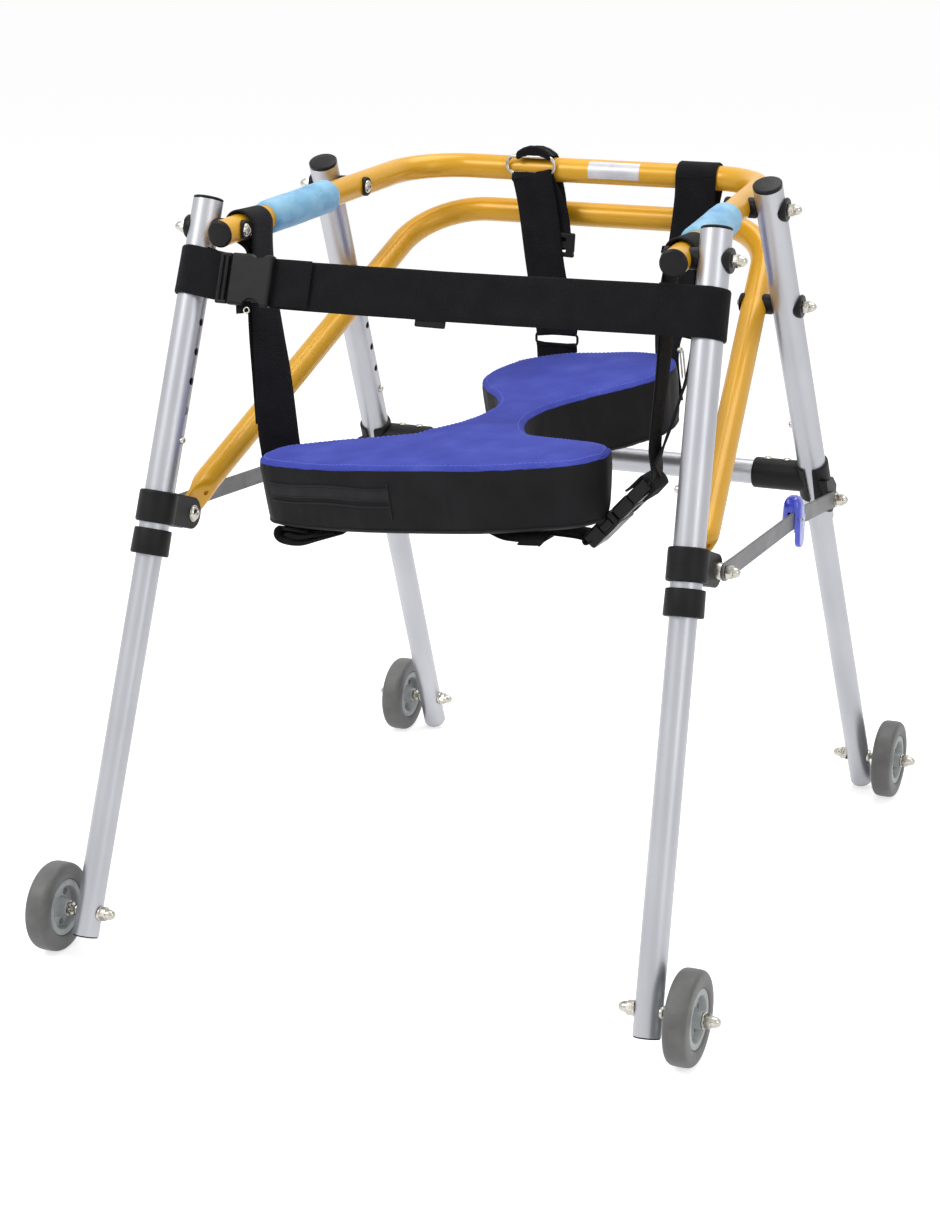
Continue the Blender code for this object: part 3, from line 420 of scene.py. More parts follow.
class Graph:
    """A Principled material with small helpers for its nodes."""

    def __init__(self, name, slot, colour, metallic=0.0, rough=0.5, **sockets):
        self.material = bpy.data.materials.new(name)
        self.material.use_nodes = True
        self.material["slot"] = slot
        self.tree = self.material.node_tree
        self.shader = self.tree.nodes["Principled BSDF"]
        values = {"Base Color": (*colour, 1), "Metallic": metallic, "Roughness": rough}
        values.update({key.replace("_", " "): value for key, value in sockets.items()})
        for key, value in values.items():
            self.shader.inputs[key].default_value = value

    def feed(self, socket, value):
        if isinstance(value, bpy.types.NodeSocket):
            self.tree.links.new(value, socket)
        else:
            socket.default_value = value

    def node(self, kind, settings=None, **inputs):
        made = self.tree.nodes.new("ShaderNode" + kind)
        for key, value in (settings or {}).items():
            setattr(made, key, value)
        for key, value in inputs.items():
            self.feed(made.inputs[key.replace("_", " ")], value)
        return made

    def math(self, operation, a, b=0.0, c=0.0):
        made = self.node("Math", {"operation": operation})
        for socket, value in zip(made.inputs, (a, b, c)):
            self.feed(socket, value)
        return made.outputs[0]

    def object_space(self, stretch=(1, 1, 1)):
        spot = self.node("TexCoord").outputs["Object"]
        return self.node("Mapping", Vector=spot, Scale=stretch).outputs[0]

    def cloth_space(self):
        return self.node("Attribute", {"attribute_name": "cloth"}).outputs["Vector"]

    def noise(self, scale, space, detail=2.0, rough=0.5):
        return self.node("TexNoise", Vector=space, Scale=scale, Detail=detail, Roughness=rough).outputs["Fac"]

    def ramp(self, value, *stops):
        made = self.node("ValToRGB", Fac=value)
        points = made.color_ramp.elements
        while len(points) < len(stops):
            points.new(0.5)
        for point, (at, colour) in zip(points, stops):
            point.position = at
            point.color = (*colour, 1) if hasattr(colour, "__len__") else (colour, colour, colour, 1)
        return made.outputs["Color"]

    def mapped(self, value, low, high, from_low=0.0, from_high=1.0):
        made = self.node("MapRange", Value=value)
        for key, number in (("From Min", from_low), ("From Max", from_high), ("To Min", low),
                            ("To Max", high)):
            made.inputs[key].default_value = number
        return made.outputs[0]

    def mix(self, factor, a, b):
        made = self.node("Mix", {"data_type": "RGBA"})
        self.feed(made.inputs["Factor"], factor)
        self.feed(made.inputs[6], a)
        self.feed(made.inputs[7], b)
        return made.outputs[2]

    def colour(self, value):
        self.feed(self.shader.inputs["Base Color"], value)

    def rough(self, value):
        self.feed(self.shader.inputs["Roughness"], value)

    def bump(self, height, strength, distance, normal=None):
        made = self.node("Bump", Height=height, Strength=strength, Distance=distance)
        if normal is not None:
            self.feed(made.inputs["Normal"], normal)
        self.tree.links.new(made.outputs[0], self.shader.inputs["Normal"])
        return made.outputs[0]


def yellow_paint():
    g = Graph("yellow_paint", "yellow_paint", (0.79, 0.405, 0.016), 0.10, 0.34, Coat_Weight=0.22,
              Coat_Roughness=0.12, Specular_IOR_Level=0.3)
    space = g.object_space()
    tone = g.noise(14, space, 3)
    g.colour(g.ramp(tone, (0.30, (0.72, 0.365, 0.014)), (0.70, (0.81, 0.425, 0.020))))
    orange_peel = g.noise(420, space, 2)
    flake = g.noise(5200, space, 1)
    g.rough(g.mapped(g.noise(60, space, 4), 0.30, 0.38))
    under = g.bump(flake, 0.05, 0.0001)
    g.bump(orange_peel, 0.05, 0.0003, under)
    return g.material


def satin_aluminium():
    g = Graph("satin_aluminium", "satin_aluminium", (0.47, 0.475, 0.51), 0.80, 0.38)
    fine = g.noise(900, g.object_space((1, 1, 0.03)), 3, 0.6)
    cloud = g.noise(18, g.object_space((1, 1, 0.5)), 4)
    scuff = g.noise(130, g.object_space((1, 1, 0.35)), 5, 0.7)
    base = g.ramp(cloud, (0.30, (0.435, 0.44, 0.475)), (0.72, (0.505, 0.51, 0.54)))
    mark = g.ramp(scuff, (0.66, 0.0), (0.76, 1.0))
    g.colour(g.mix(g.math("MULTIPLY", mark, 0.35), base, (0.42, 0.42, 0.44, 1)))
    g.rough(g.mapped(fine, 0.31, 0.46))
    g.bump(fine, 0.10, 0.0003)
    return g.material


def black_plastic(name="black_plastic", rough=0.46, colour=0.009):
    g = Graph(name, "black_plastic", (colour,) * 3, 0.0, rough, Specular_IOR_Level=0.16)
    space = g.object_space()
    grain = g.noise(1500, space, 2)
    cloud = g.noise(70, space, 4)
    g.colour(g.ramp(cloud, (0.3, (colour * 0.8, colour * 0.8, colour * 0.88)), (0.75, (colour * 1.5,) * 3)))
    g.rough(g.mapped(cloud, rough - 0.08, rough + 0.10))
    g.bump(grain, 0.22, 0.0004)
    return g.material


def weave(name, slot, colour, tip, rib=0.0017, warp=0.0011, depth=0.00035):
    """Narrow webbing: ribs across it, warp ends along it and a herringbone shift between them."""
    g = Graph(name, slot, colour, 0.0, 0.86, Sheen_Weight=0.08, Sheen_Roughness=0.4, Specular_IOR_Level=0.1)
    parts = g.node("SeparateXYZ", Vector=g.cloth_space()).outputs
    across = g.math("MULTIPLY", parts[1], math.tau / warp)
    twist = g.math("MULTIPLY", g.math("SINE", across), 0.9)
    along = g.math("ADD", g.math("MULTIPLY", parts[0], math.tau / rib), twist)
    ribs = g.math("MULTIPLY_ADD", g.math("SINE", along), 0.5, 0.5)
    ends = g.math("MULTIPLY_ADD", g.math("COSINE", across), 0.5, 0.5)
    height = g.math("ADD", g.math("MULTIPLY", ribs, 0.7), g.math("MULTIPLY", ends, 0.3))
    fuzz = g.noise(2200, g.cloth_space(), 2)
    rib_light_patches = g.noise(55, g.cloth_space(), 4)
    # Rib tops are painted lighter than the grooves between them, more in some patches than others: a painted
    # highlight on the ribs and painted shade in the grooves.
    lit = g.math("MULTIPLY", height, g.mapped(rib_light_patches, 0.5, 1.1, 0.3, 0.7))
    g.colour(g.mix(lit, (*colour, 1), (*tip, 1)))
    g.bump(g.math("ADD", height, g.math("MULTIPLY", fuzz, 0.35)), 0.75, depth)
    return g.material


def foam():
    g = Graph("foam", "foam", (0.24, 0.54, 0.78), 0.0, 0.72, Sheen_Weight=0.3, Specular_IOR_Level=0.35)
    space = g.object_space()
    cells = g.node("TexVoronoi", Vector=space, Scale=900.0).outputs["Distance"]
    mottle = g.noise(75, g.object_space((1, 1, 0.5)), 4, 0.6)
    patch = g.noise(20, space, 2)
    tone = g.math("ADD", g.math("MULTIPLY", mottle, 0.6), g.math("MULTIPLY", patch, 0.4))
    pale, deep = (0.36, 0.66, 0.86), (0.14, 0.40, 0.68)
    g.colour(g.ramp(tone, (0.36, deep), (0.50, (0.25, 0.55, 0.79)), (0.66, pale)))
    lumps = g.noise(240, space, 3)
    under = g.bump(cells, 0.30, 0.0005)
    g.bump(lumps, 0.35, 0.0012, under)
    return g.material


def blue_knit(g):
    """The height and the colour of the seat's blue knit, and the slow mottle under them."""
    pitch = math.tau / 0.0013
    spot = g.node("SeparateXYZ", Vector=g.object_space()).outputs
    x, y = g.math("MULTIPLY", spot[0], pitch), g.math("MULTIPLY", spot[1], pitch)
    warp = g.math("SINE", g.math("ADD", x, y))
    weft = g.math("SINE", g.math("SUBTRACT", x, y))
    knit = g.math("MULTIPLY_ADD", g.math("MULTIPLY", warp, weft), 0.5, 0.5)
    cloud = g.noise(26, g.object_space(), 4)
    fleck = g.noise(1300, g.object_space(), 2)
    tone = g.math("ADD", g.math("MULTIPLY", cloud, 0.55), g.math("MULTIPLY", fleck, 0.45))
    blues = (0.35, (0.046, 0.062, 0.385)), (0.52, (0.064, 0.086, 0.47)), (0.68, (0.098, 0.125, 0.56))
    return knit, g.ramp(tone, *blues), cloud


def seat_cloth():
    g = Graph("seat_cloth", "seat_cloth", (0.062, 0.082, 0.44), 0.0, 0.80, Sheen_Weight=0.03,
              Specular_IOR_Level=0.12)
    knit, blue, _ = blue_knit(g)
    g.colour(blue)
    under = g.bump(knit, 0.55, 0.0004)
    g.bump(g.noise(34, g.object_space(), 3), 0.25, 0.0018, under)
    return g.material


def nylon():
    """The seat's black sides: fine cloth that hangs in faint upright folds."""
    g = Graph("nylon", "seat_cloth", (0.012, 0.012, 0.014), 0.0, 0.62, Sheen_Weight=0.06,
              Specular_IOR_Level=0.14)
    folds = g.noise(46, g.object_space((1, 1, 0.12)), 3, 0.55)
    fine = g.noise(2600, g.object_space(), 1)
    cloud = g.noise(16, g.object_space(), 3)
    g.colour(g.ramp(cloud, (0.3, (0.009, 0.009, 0.010)), (0.75, (0.018, 0.0185, 0.020))))
    g.rough(g.mapped(cloud, 0.52, 0.72))
    under = g.bump(folds, 0.45, 0.0028)
    g.bump(fine, 0.25, 0.0003, under)
    return g.material


def seat_cover():
    """Blue knit above the seam and black nylon below it; the attribute cloth holds the metres along the
    edge, the depth below the top and the distance out of the edge."""
    g = Graph("seat_cover", "seat_cloth", (0.06, 0.08, 0.44), 0.0, 0.74, Sheen_Weight=0.03,
              Specular_IOR_Level=0.12)
    knit, blue, cloud = blue_knit(g)
    dark = g.ramp(cloud, (0.3, (0.006, 0.006, 0.007)), (0.75, (0.013, 0.0133, 0.0145)))
    depth = g.node("SeparateXYZ", Vector=g.cloth_space()).outputs[1]
    below = g.mapped(depth, 0.0, 1.0, 0.0029, 0.0033)
    g.colour(g.mix(below, blue, dark))
    g.rough(g.math("SUBTRACT", 0.80, g.math("MULTIPLY", below, 0.18)))
    folds = g.noise(52, g.object_space((1, 1, 0.14)), 3, 0.55)
    plain = g.noise(2600, g.object_space(), 1)
    fine = g.mix(below, knit, plain)
    under = g.bump(fine, 0.5, 0.0004)
    soft = g.mix(below, g.noise(34, g.object_space(), 3), folds)
    g.bump(soft, 0.35, 0.0022, under)
    return g.material


def mottled(name, slot, base, tone, shades, gloss, limits, relief, bump, **sockets):
    """A plain material. Its colour, gloss and relief each follow a noise, given as its scale, the
    stretch of its space, its detail and its roughness."""
    g = Graph(name, slot, *base, **sockets)
    tone, gloss, relief = (g.noise(scale, g.object_space(stretch), *more)
                           for scale, stretch, *more in (tone, gloss, relief))
    g.colour(g.ramp(tone, *shades))
    g.rough(g.mapped(gloss, *limits))
    g.bump(relief, *bump)
    return g.material


EVEN, BRUSHED = (1, 1, 1), (1, 0.04, 1)
YELLOW, ALUMINIUM, BLACK = yellow_paint(), satin_aluminium(), black_plastic()
GLOSS_BLACK = black_plastic("moulded_black", 0.34, 0.010)
WEBBING = weave("webbing", "webbing", (0.0055, 0.0055, 0.0065), (0.019, 0.019, 0.021))
THREAD = weave("thread", "webbing", (0.016, 0.016, 0.018), (0.05, 0.05, 0.055), 0.0011, 0.0009, 0.0002)
FOAM, CLOTH, NYLON = foam(), seat_cloth(), nylon()
COVER = seat_cover()
CLOTH_THREAD = weave("cloth_thread", "seat_cloth", (0.10, 0.13, 0.60), (0.20, 0.24, 0.80), 0.0011, 0.0009,
                     0.0002)
TYRE = mottled(
    "tyre_rubber", "tyre_rubber", ((0.135, 0.135, 0.135), 0.0, 0.50),
    (42, EVEN, 4, 0.6), ((0.3, (0.105, 0.103, 0.101)), (0.72, (0.165, 0.163, 0.162))),
    (700, EVEN, 3), (0.38, 0.62), (700, EVEN, 3), (0.25, 0.0004), Specular_IOR_Level=0.5,
)
HUB = mottled(
    "hub_plastic", "hub_plastic", ((0.37, 0.40, 0.40), 0.0, 0.42),
    (60, EVEN, 4), ((0.3, (0.32, 0.345, 0.345)), (0.72, (0.44, 0.465, 0.465))),
    (300, EVEN, 2), (0.34, 0.52), (900, EVEN, 2), (0.15, 0.0003), Specular_IOR_Level=0.5,
)
STEEL = mottled(
    "bright_steel", "bright_steel", ((0.50, 0.48, 0.43), 1.0, 0.22),
    (260, EVEN, 4, 0.6), ((0.3, (0.40, 0.38, 0.33)), (0.66, (0.58, 0.56, 0.51))),
    (260, EVEN, 4, 0.6), (0.14, 0.32), (1500, EVEN, 2), (0.06, 0.0002),
)
STAY = mottled(
    "grey_stay", "grey_stay", ((0.17, 0.17, 0.18), 0.55, 0.46),
    (45, EVEN, 4), ((0.3, (0.135, 0.135, 0.14)), (0.7, (0.205, 0.205, 0.215))),
    (700, BRUSHED, 3), (0.38, 0.56), (700, BRUSHED, 3), (0.15, 0.0003),
)
LEVER = mottled(
    "blue_lever", "blue_lever", ((0.030, 0.062, 0.66), 0.0, 0.22),
    (90, EVEN, 3), ((0.3, (0.024, 0.050, 0.60)), (0.7, (0.040, 0.078, 0.72))),
    (90, EVEN, 3), (0.18, 0.30), (500, EVEN, 2), (0.10, 0.0004), Coat_Weight=0.8, Coat_Roughness=0.06,
)
LABEL = mottled(
    "bare_label", "bright_steel", ((0.60, 0.60, 0.63), 0.25, 0.38),
    (60, EVEN, 3), ((0.3, (0.53, 0.53, 0.56)), (0.7, (0.68, 0.68, 0.70))),
    (60, EVEN, 3), (0.3, 0.48), (180, EVEN, 2), (0.12, 0.0005), Coat_Weight=0.4, Coat_Roughness=0.2,
)


def strap(name, path, width=WEB_W, body="rail", place=None, replaces=(), per=6, thick=WEB_T, look=WEBBING):
    """A piece of webbing along (point, width direction) pairs."""
    piece(name, webbing(path, width, thick, per), look, body, place, replaces, sharp=60)


# fasteners

def acorn(reach=0.0118, flats=0.0050, dome=0.0043):
    """A domed nut that stands on local z = 0: a hexagon with chamfered corners, a neck and a dome."""
    corner = flats * 1.155
    hexagon = 0.0055
    rows = [
        (0, 0),
        (0, flats * 0.98, flats),
        (0.0005, corner, flats),
        (hexagon - 0.0007, corner, flats),
        (hexagon, flats * 0.99, flats),
        (hexagon + 0.0002, dome * 0.98),
    ]
    tall = reach - hexagon - 0.0002
    for k in range(1, 9):
        angle = k * math.pi / 16
        rows.append((hexagon + 0.0002 + tall * math.sin(angle), dome * math.cos(angle) ** 0.85))
    rows[-1] = (reach, 0)
    return turned(rows, 48, ease=0)


def screw_head(radius=0.0060, tall=0.0034):
    """A domed head on local z = 0 facing up, with a hexagon socket."""
    socket = 0.0021
    rows = [(0, 0), (0, radius)]
    for k in range(1, 8):
        angle = k * math.pi / 2 / 8
        rows.append((tall * math.sin(angle), radius * math.cos(angle)))
    rows += [(tall, socket * 1.3), (tall - 0.0002, socket * 1.155, socket),
             (tall - 0.0016, socket * 1.1, socket)]
    rows.append((tall - 0.0019, 0))
    return turned(rows, 48, ease=0)


def hugging(low, high, radius, low_tube=None, high_tube=None):
    """A pad about local X between low and high, either of which hollows to hug a tube, given as its
    radius, its middle along X and its angle from +Z in the YZ plane."""
    def level(at, tube, y, z):
        if not tube:
            return at
        tube_r, middle, lean = tube
        off = y * math.cos(lean) + z * math.sin(lean)
        return middle + (1 if at > middle else -1) * math.sqrt(max(tube_r**2 - off**2, 0))

    steps, rounded, slant = 48, 0.0010, math.pi / 8
    outer = [radius * share for share in (0.45, 0.7, 0.9)]
    outer += [radius - rounded * (1 - math.sin(slant)), radius]
    drops = [0, 0, 0, rounded * (1 - math.cos(slant)), rounded]
    profile = [(BOLT_R + GAP, 0), *zip(outer, drops)]
    rings = []
    for end, tube, inward, rows in ((low, low_tube, 1, profile), (high, high_tube, -1, profile[::-1])):
        for r, drop in rows:
            ring = []
            for k in range(steps):
                y, z = r * math.cos(math.tau * k / steps), r * math.sin(math.tau * k / steps)
                ring.append((level(end, tube, y, z) + inward * drop, y, z))
            rings.append(ring)
    return lofted(rings, closed=True)


def pivot(name, leg, at, middle, tube_lean):
    """Screw, two pads, saddle washer and domed nut that join a leg to a yellow tube, whose middle is an
    offset outboard from the leg's axis."""
    side, body = leg.side, leg.end + "_legs"
    low, high = middle - RAIL_R, middle + RAIL_R
    mirror = Matrix.Translation(at) @ Matrix.Diagonal((side, 1, 1, 1))
    shank = bar(BOLT_R, low - 0.001, UPPER_R + 0.004, 32)
    bolt = joined(shank, moved(screw_head(), flipped(low - 0.0006)))
    piece(name, bolt, STEEL, body, outward(at, side), (name,), weighted=True)
    far = outward(at + Vector((side * (UPPER_R + 0.0023), 0, 0)), side)
    piece(name + "_nut", acorn(), STEEL, body, far, weighted=True)
    yellow = (RAIL_R + FIT, (low + high) / 2, -tube_lean)
    upper = (UPPER_R + FIT, 0.0, -leg.lean)
    piece(name + "_spacer", hugging(high, -UPPER_R, 0.0088, yellow, upper), BLACK, body, mirror)
    piece(name + "_saddle", hugging(UPPER_R, UPPER_R + 0.0022, 0.0102, upper), GLOSS_BLACK, body, mirror)
    piece(name + "_pad", hugging(low - 0.0014, low, 0.0085, None, yellow), BLACK, body, mirror)


# legs

HOLE_PITCH, HOLE_COUNT, HOLE_R = 0.0250, 5, 0.0033
FRONT_TOP, REAR_TOP = 0.0229, 0.0215
FRONT_TUBE_END, REAR_TUBE_END = 0.2720, 0.3350
BUTTON_T = {"front": 0.1796, "rear": 0.2297}
LOWER_TOP = {"front": 0.1496, "rear": 0.2097}
LOWER_END = {"front": 0.5998, "rear": 0.6749}
BRACE_D_T = 0.0987


def build_upper(leg):
    top = FRONT_TOP if leg.end == "front" else REAR_TOP
    end = FRONT_TUBE_END if leg.end == "front" else REAR_TUBE_END
    crown = top + (0.0026 if leg.end == "front" else 0.0034)
    turn = leg.frame()
    back = turn.inverted()
    cuts = []
    for k in range(HOLE_COUNT):
        at = leg.at(BUTTON_T[leg.end] - HOLE_PITCH * k)
        cuts.append(moved(bar(HOLE_R, 0.004, 2 * UPPER_R, 28), back @ outward(at, -leg.side)))
    tube = carved(hollow(-end, top, UPPER_R, LOWER_R + GAP), cuts)
    node, body = f"{leg.end}_upper_{leg.word}", leg.end + "_legs"
    piece(node, tube, ALUMINIUM, body, turn, (node,), sharp=30, weighted=True)
    lid = [(top - 0.004, 0), (top - 0.004, LOWER_R), (top + GAP, LOWER_R), (top + GAP, UPPER_R - 0.0002)]
    lid += [(crown - 0.0006, UPPER_R), (crown, UPPER_R - 0.0012), (crown + 0.0005, 0.006),
            (crown + 0.0006, 0)]
    cap = f"{leg.end}_cap_{leg.word}"
    piece(cap, turned(lid, 64), GLOSS_BLACK, body, turn, (cap,))


def build_lower(leg):
    label = leg.label
    body = "lower_leg_" + label
    turn = leg.frame()
    back = turn.inverted()
    end, bore = -LOWER_END[leg.end], LOWER_R - WALL - 0.0001
    button = outward(leg.at(BUTTON_T[leg.end]), -leg.side)
    axle = outward(leg.at(leg.axle), leg.side)
    cuts = [moved(bar(HOLE_R, 0.004, 0.03, 24), back @ button)]
    cuts.append(moved(bar(HOLE_R, -0.03, 0.03, 24), back @ axle))
    tube = carved(hollow(end, -LOWER_TOP[leg.end], LOWER_R, LOWER_R - WALL), cuts)
    node = "lower_tube_" + label
    piece(node, tube, ALUMINIUM, body, turn, (node,), sharp=30, weighted=True)
    plug = [(end + 0.010, 0), (end + 0.010, bore), (end - 0.0001, bore), (end - 0.0001, LOWER_R - 0.0003)]
    plug += [(end - 0.0012, LOWER_R - 0.0006), (end - 0.0014, 0)]
    piece("foot_plug_" + label, turned(plug, 48), BLACK, body, turn)
    build_axle(leg, body)
    knob = [(0.0072, 0), (0.0072, 0.0038), (0.0086, 0.0038), (0.0086, 0.0030), (0.0140, 0.0030)]
    knob += [(0.0152, 0.0024), (0.0158, 0.0012), (0.0159, 0)]
    node = "snap_button_" + label
    piece(node, turned(knob, 32), STEEL, "snap_" + label, button, (node,))


def build_axle(leg, body):
    """The axle bolt with its domed nuts, washers and the threaded stretch between leg and wheel."""
    side, label = leg.side, leg.label
    at = leg.at(leg.axle)
    middle = outward(at, side)
    inner, outer = WHEEL_OUT - 0.0120, WHEEL_OUT + 0.0120
    pitch, start, end = 0.0010, LOWER_R + 0.0006, inner - 0.0028
    rows = [(-0.0150, 0), (-0.0150, BOLT_R), (start, BOLT_R)]
    for k in range(int((end - start) / pitch)):
        rows += [(start + pitch * k, 0.0026), (start + pitch * (k + 0.5), 0.0031)]
    rows += [(end, BOLT_R), (outer + 0.003, BOLT_R), (outer + 0.003, 0)]
    piece("axle_bolt_" + label, turned(rows, 28, ease=0), STEEL, body, middle)
    flats = 0.0050
    nut = [(0, BOLT_HOLE), (0, flats, flats), (0.0004, flats * 1.155, flats), (0.0026, flats * 1.155, flats)]
    nut += [(0.0030, flats, flats), (0.0030, BOLT_HOLE)]
    place = outward(at + Vector((side * (inner - 0.0034), 0, 0)), side)
    piece("axle_nut_" + label, turned(nut, 48, closed=True, ease=0), STEEL, body, place)
    collar = hollow(LOWER_R - 0.0016, LOWER_R + 0.0012, 0.0058, BOLT_HOLE, 40, 0.0004)
    piece("axle_collar_" + label, collar, STEEL, body, middle)
    far = outward(at + Vector((side * (outer + 0.0016), 0, 0)), side)
    near = outward(at - Vector((side * (LOWER_R + 0.0008), 0, 0)), -side)
    piece("axle_washer_" + label, hollow(-0.0014, 0, 0.0066, BOLT_HOLE, 40, 0.0004), STEEL, body, far)
    for word, place in (("outer_", far), ("inner_", near)):
        piece("axle_cap_" + word + label, acorn(0.0128, 0.0052, 0.0046), STEEL, body, place, weighted=True)
    saddle = hugging(LOWER_R, LOWER_R + 0.0012, 0.0066, (LOWER_R + FIT, 0.0, leg.lean))
    mirror = Matrix.Translation(at) @ Matrix.Diagonal((-side, 1, 1, 1))
    piece("axle_saddle_" + label, saddle, STEEL, body, mirror)


def build_wheel(leg):
    label = leg.label
    body = "wheel_" + label
    place = outward(leg.hub, leg.side)
    half = WHEEL_W / 2
    rows = [(-half + 0.0012, RIM_R), (-half, RIM_R + 0.0010), (-half - 0.0002, RIM_R + 0.0065)]
    for k in range(9):
        angle = math.pi / 2 * k / 8
        rows.append((-half + 0.0042 - 0.0042 * math.cos(angle), WHEEL_R - 0.0044 + 0.0042 * math.sin(angle)))
    rows += [(-0.0035, WHEEL_R), (0.0035, WHEEL_R)]
    rows += [(-along, radius) for along, radius in rows[-3::-1]]
    piece("tyre_" + label, turned(rows, 112, closed=True, ease=0), TYRE, body, place, ("tyre_" + label,),
          sharp=50)
    rim = half - 0.0008
    core = [(-0.0120, 0.0036), (-0.0120, 0.0068), (-0.0060, 0.0078), (-0.0035, 0.0092), (-0.0035, 0.0168)]
    core += [(-rim + 0.0025, 0.0176), (-rim, 0.0186), (-rim - 0.0003, 0.0215), (-rim, RIM_R - 0.0001)]
    core += [(-along, radius) for along, radius in core[::-1]]
    solid = turned(core, 96, closed=True, ease=0.0006)
    cuts = []
    for k in range(5):
        spin = Matrix.Rotation(math.tau * (k + 0.5) / 5, 4, "Z")
        cuts.append(moved(block((0.0058, 0.0068, 0.02), (0.0134, 0, 0), 0.0017, 3), spin))
    piece("hub_" + label, carved(solid, cuts), HUB, body, place, ("hub_" + label,), sharp=32, weighted=True)
    for sign in (-1, 1):
        ring = [(0.0121, 0.0038), (0.0121, 0.0060), (0.0113, 0.0062), (0.0113, 0.0038)]
        ring = [(sign * along, radius) for along, radius in ring]
        name = "bearing_" + ("in_" if sign < 0 else "out_") + label
        piece(name, turned(ring, 40, closed=True, ease=0.0002), STEEL, body, place)


# front fittings

CLAMP_T, CLAMP_H, CLAMP_R = 0.2372, 0.0270, 0.0165
LUG_BACK, LUG_R = 0.0375, 0.0135
COLLAR_T, COLLAR_H = 0.2666, 0.0220
BRACE_END_X, BRACE_FLAT, BRACE_FLAT_W = 0.22453, 0.0050, 0.0260


def build_front(leg):
    word, side = leg.word, leg.side
    turn = leg.frame(CLAMP_T)
    sleeve = moved(bar(CLAMP_R, -CLAMP_H / 2, CLAMP_H / 2, 72, 0.0022), turn)
    axis, spot = leg.at(CLAMP_T), C[word]
    back = Vector((0, spot.y - axis.y, spot.z - axis.z)).normalized()
    up = Vector((0, -back.z, back.y))
    pin = level_with(spot, side)
    ears = []
    for low, high, near in (
        (BRACE_END_X - 0.0062, BRACE_END_X - BRACE_FLAT / 2 - GAP, 0.004),
        (BRACE_END_X + BRACE_FLAT / 2 + GAP, 0.2462, 0.010),
    ):
        ends = arc((LUG_BACK, 0), LUG_R, -math.pi / 2, math.pi / 2, 24) + [(near, LUG_R), (near, -LUG_R)]
        outline = [(axis.y + back.y * a + up.y * b, axis.z + back.z * a + up.z * b) for a, b in ends]
        ears.append(slab(outline, side * low, side * high, 0.0011))
    cuts = [moved(bar(UPPER_R + FIT, -CLAMP_H, CLAMP_H, 72), turn)]
    cuts.append(moved(bar(BOLT_R + FIT, 0.20, 0.27, 28), pin))
    node, body = "front_clamp_" + word, "front_legs"
    piece(node, carved(sleeve, cuts, ears), BLACK, body, None, (node,), sharp=34, weighted=True)
    under = BRACE_END_X - 0.0068
    head = moved(screw_head(0.0062, 0.0036), flipped(under))
    bolt = joined(bar(BOLT_R, BRACE_END_X - 0.009, 0.2575, 28), head)
    piece("brace_pin_" + word, bolt, STEEL, body, pin, weighted=True)
    washer = hollow(under, BRACE_END_X - 0.0059, 0.0072, BOLT_HOLE, 40, 0.0002)
    piece("brace_pin_washer_" + word, washer, STEEL, body, pin)
    spacer = [(0.2458, BOLT_HOLE), (0.2458, 0.0072), (0.2504, 0.0066), (0.2504, BOLT_HOLE)]
    piece("stay_spacer_" + word, turned(spacer, 40, closed=True, ease=0.0003), STEEL, body, pin)
    nut_at = level_with(spot, side, 0.2536)
    piece("brace_pin_nut_" + word, acorn(0.0112), STEEL, body, nut_at, weighted=True)
    half, step = COLLAR_H / 2, COLLAR_T - FRONT_TUBE_END - GAP
    ring = [(half, UPPER_R + FIT), (half, 0.0158), (-half, 0.0162), (-half, LOWER_R + FIT)]
    ring += [(step, LOWER_R + FIT), (step, UPPER_R + FIT)]
    node = "front_collar_" + word
    piece(node, turned(ring, 72, closed=True, ease=0.0016), BLACK, body, leg.frame(COLLAR_T), (node,))
    pivot("front_pivot_bolt_" + word, leg, leg.at(0), -RAIL_INSET, RAIL_LEAN)


# rear fittings

TEE_T, TEE_H, TEE_R, TEE_REACH = 0.2889, 0.0360, 0.0150, 0.0560
CROSS_R = 0.0111
STAY_THICK = 0.0025
BRACE_D_X = 0.18274


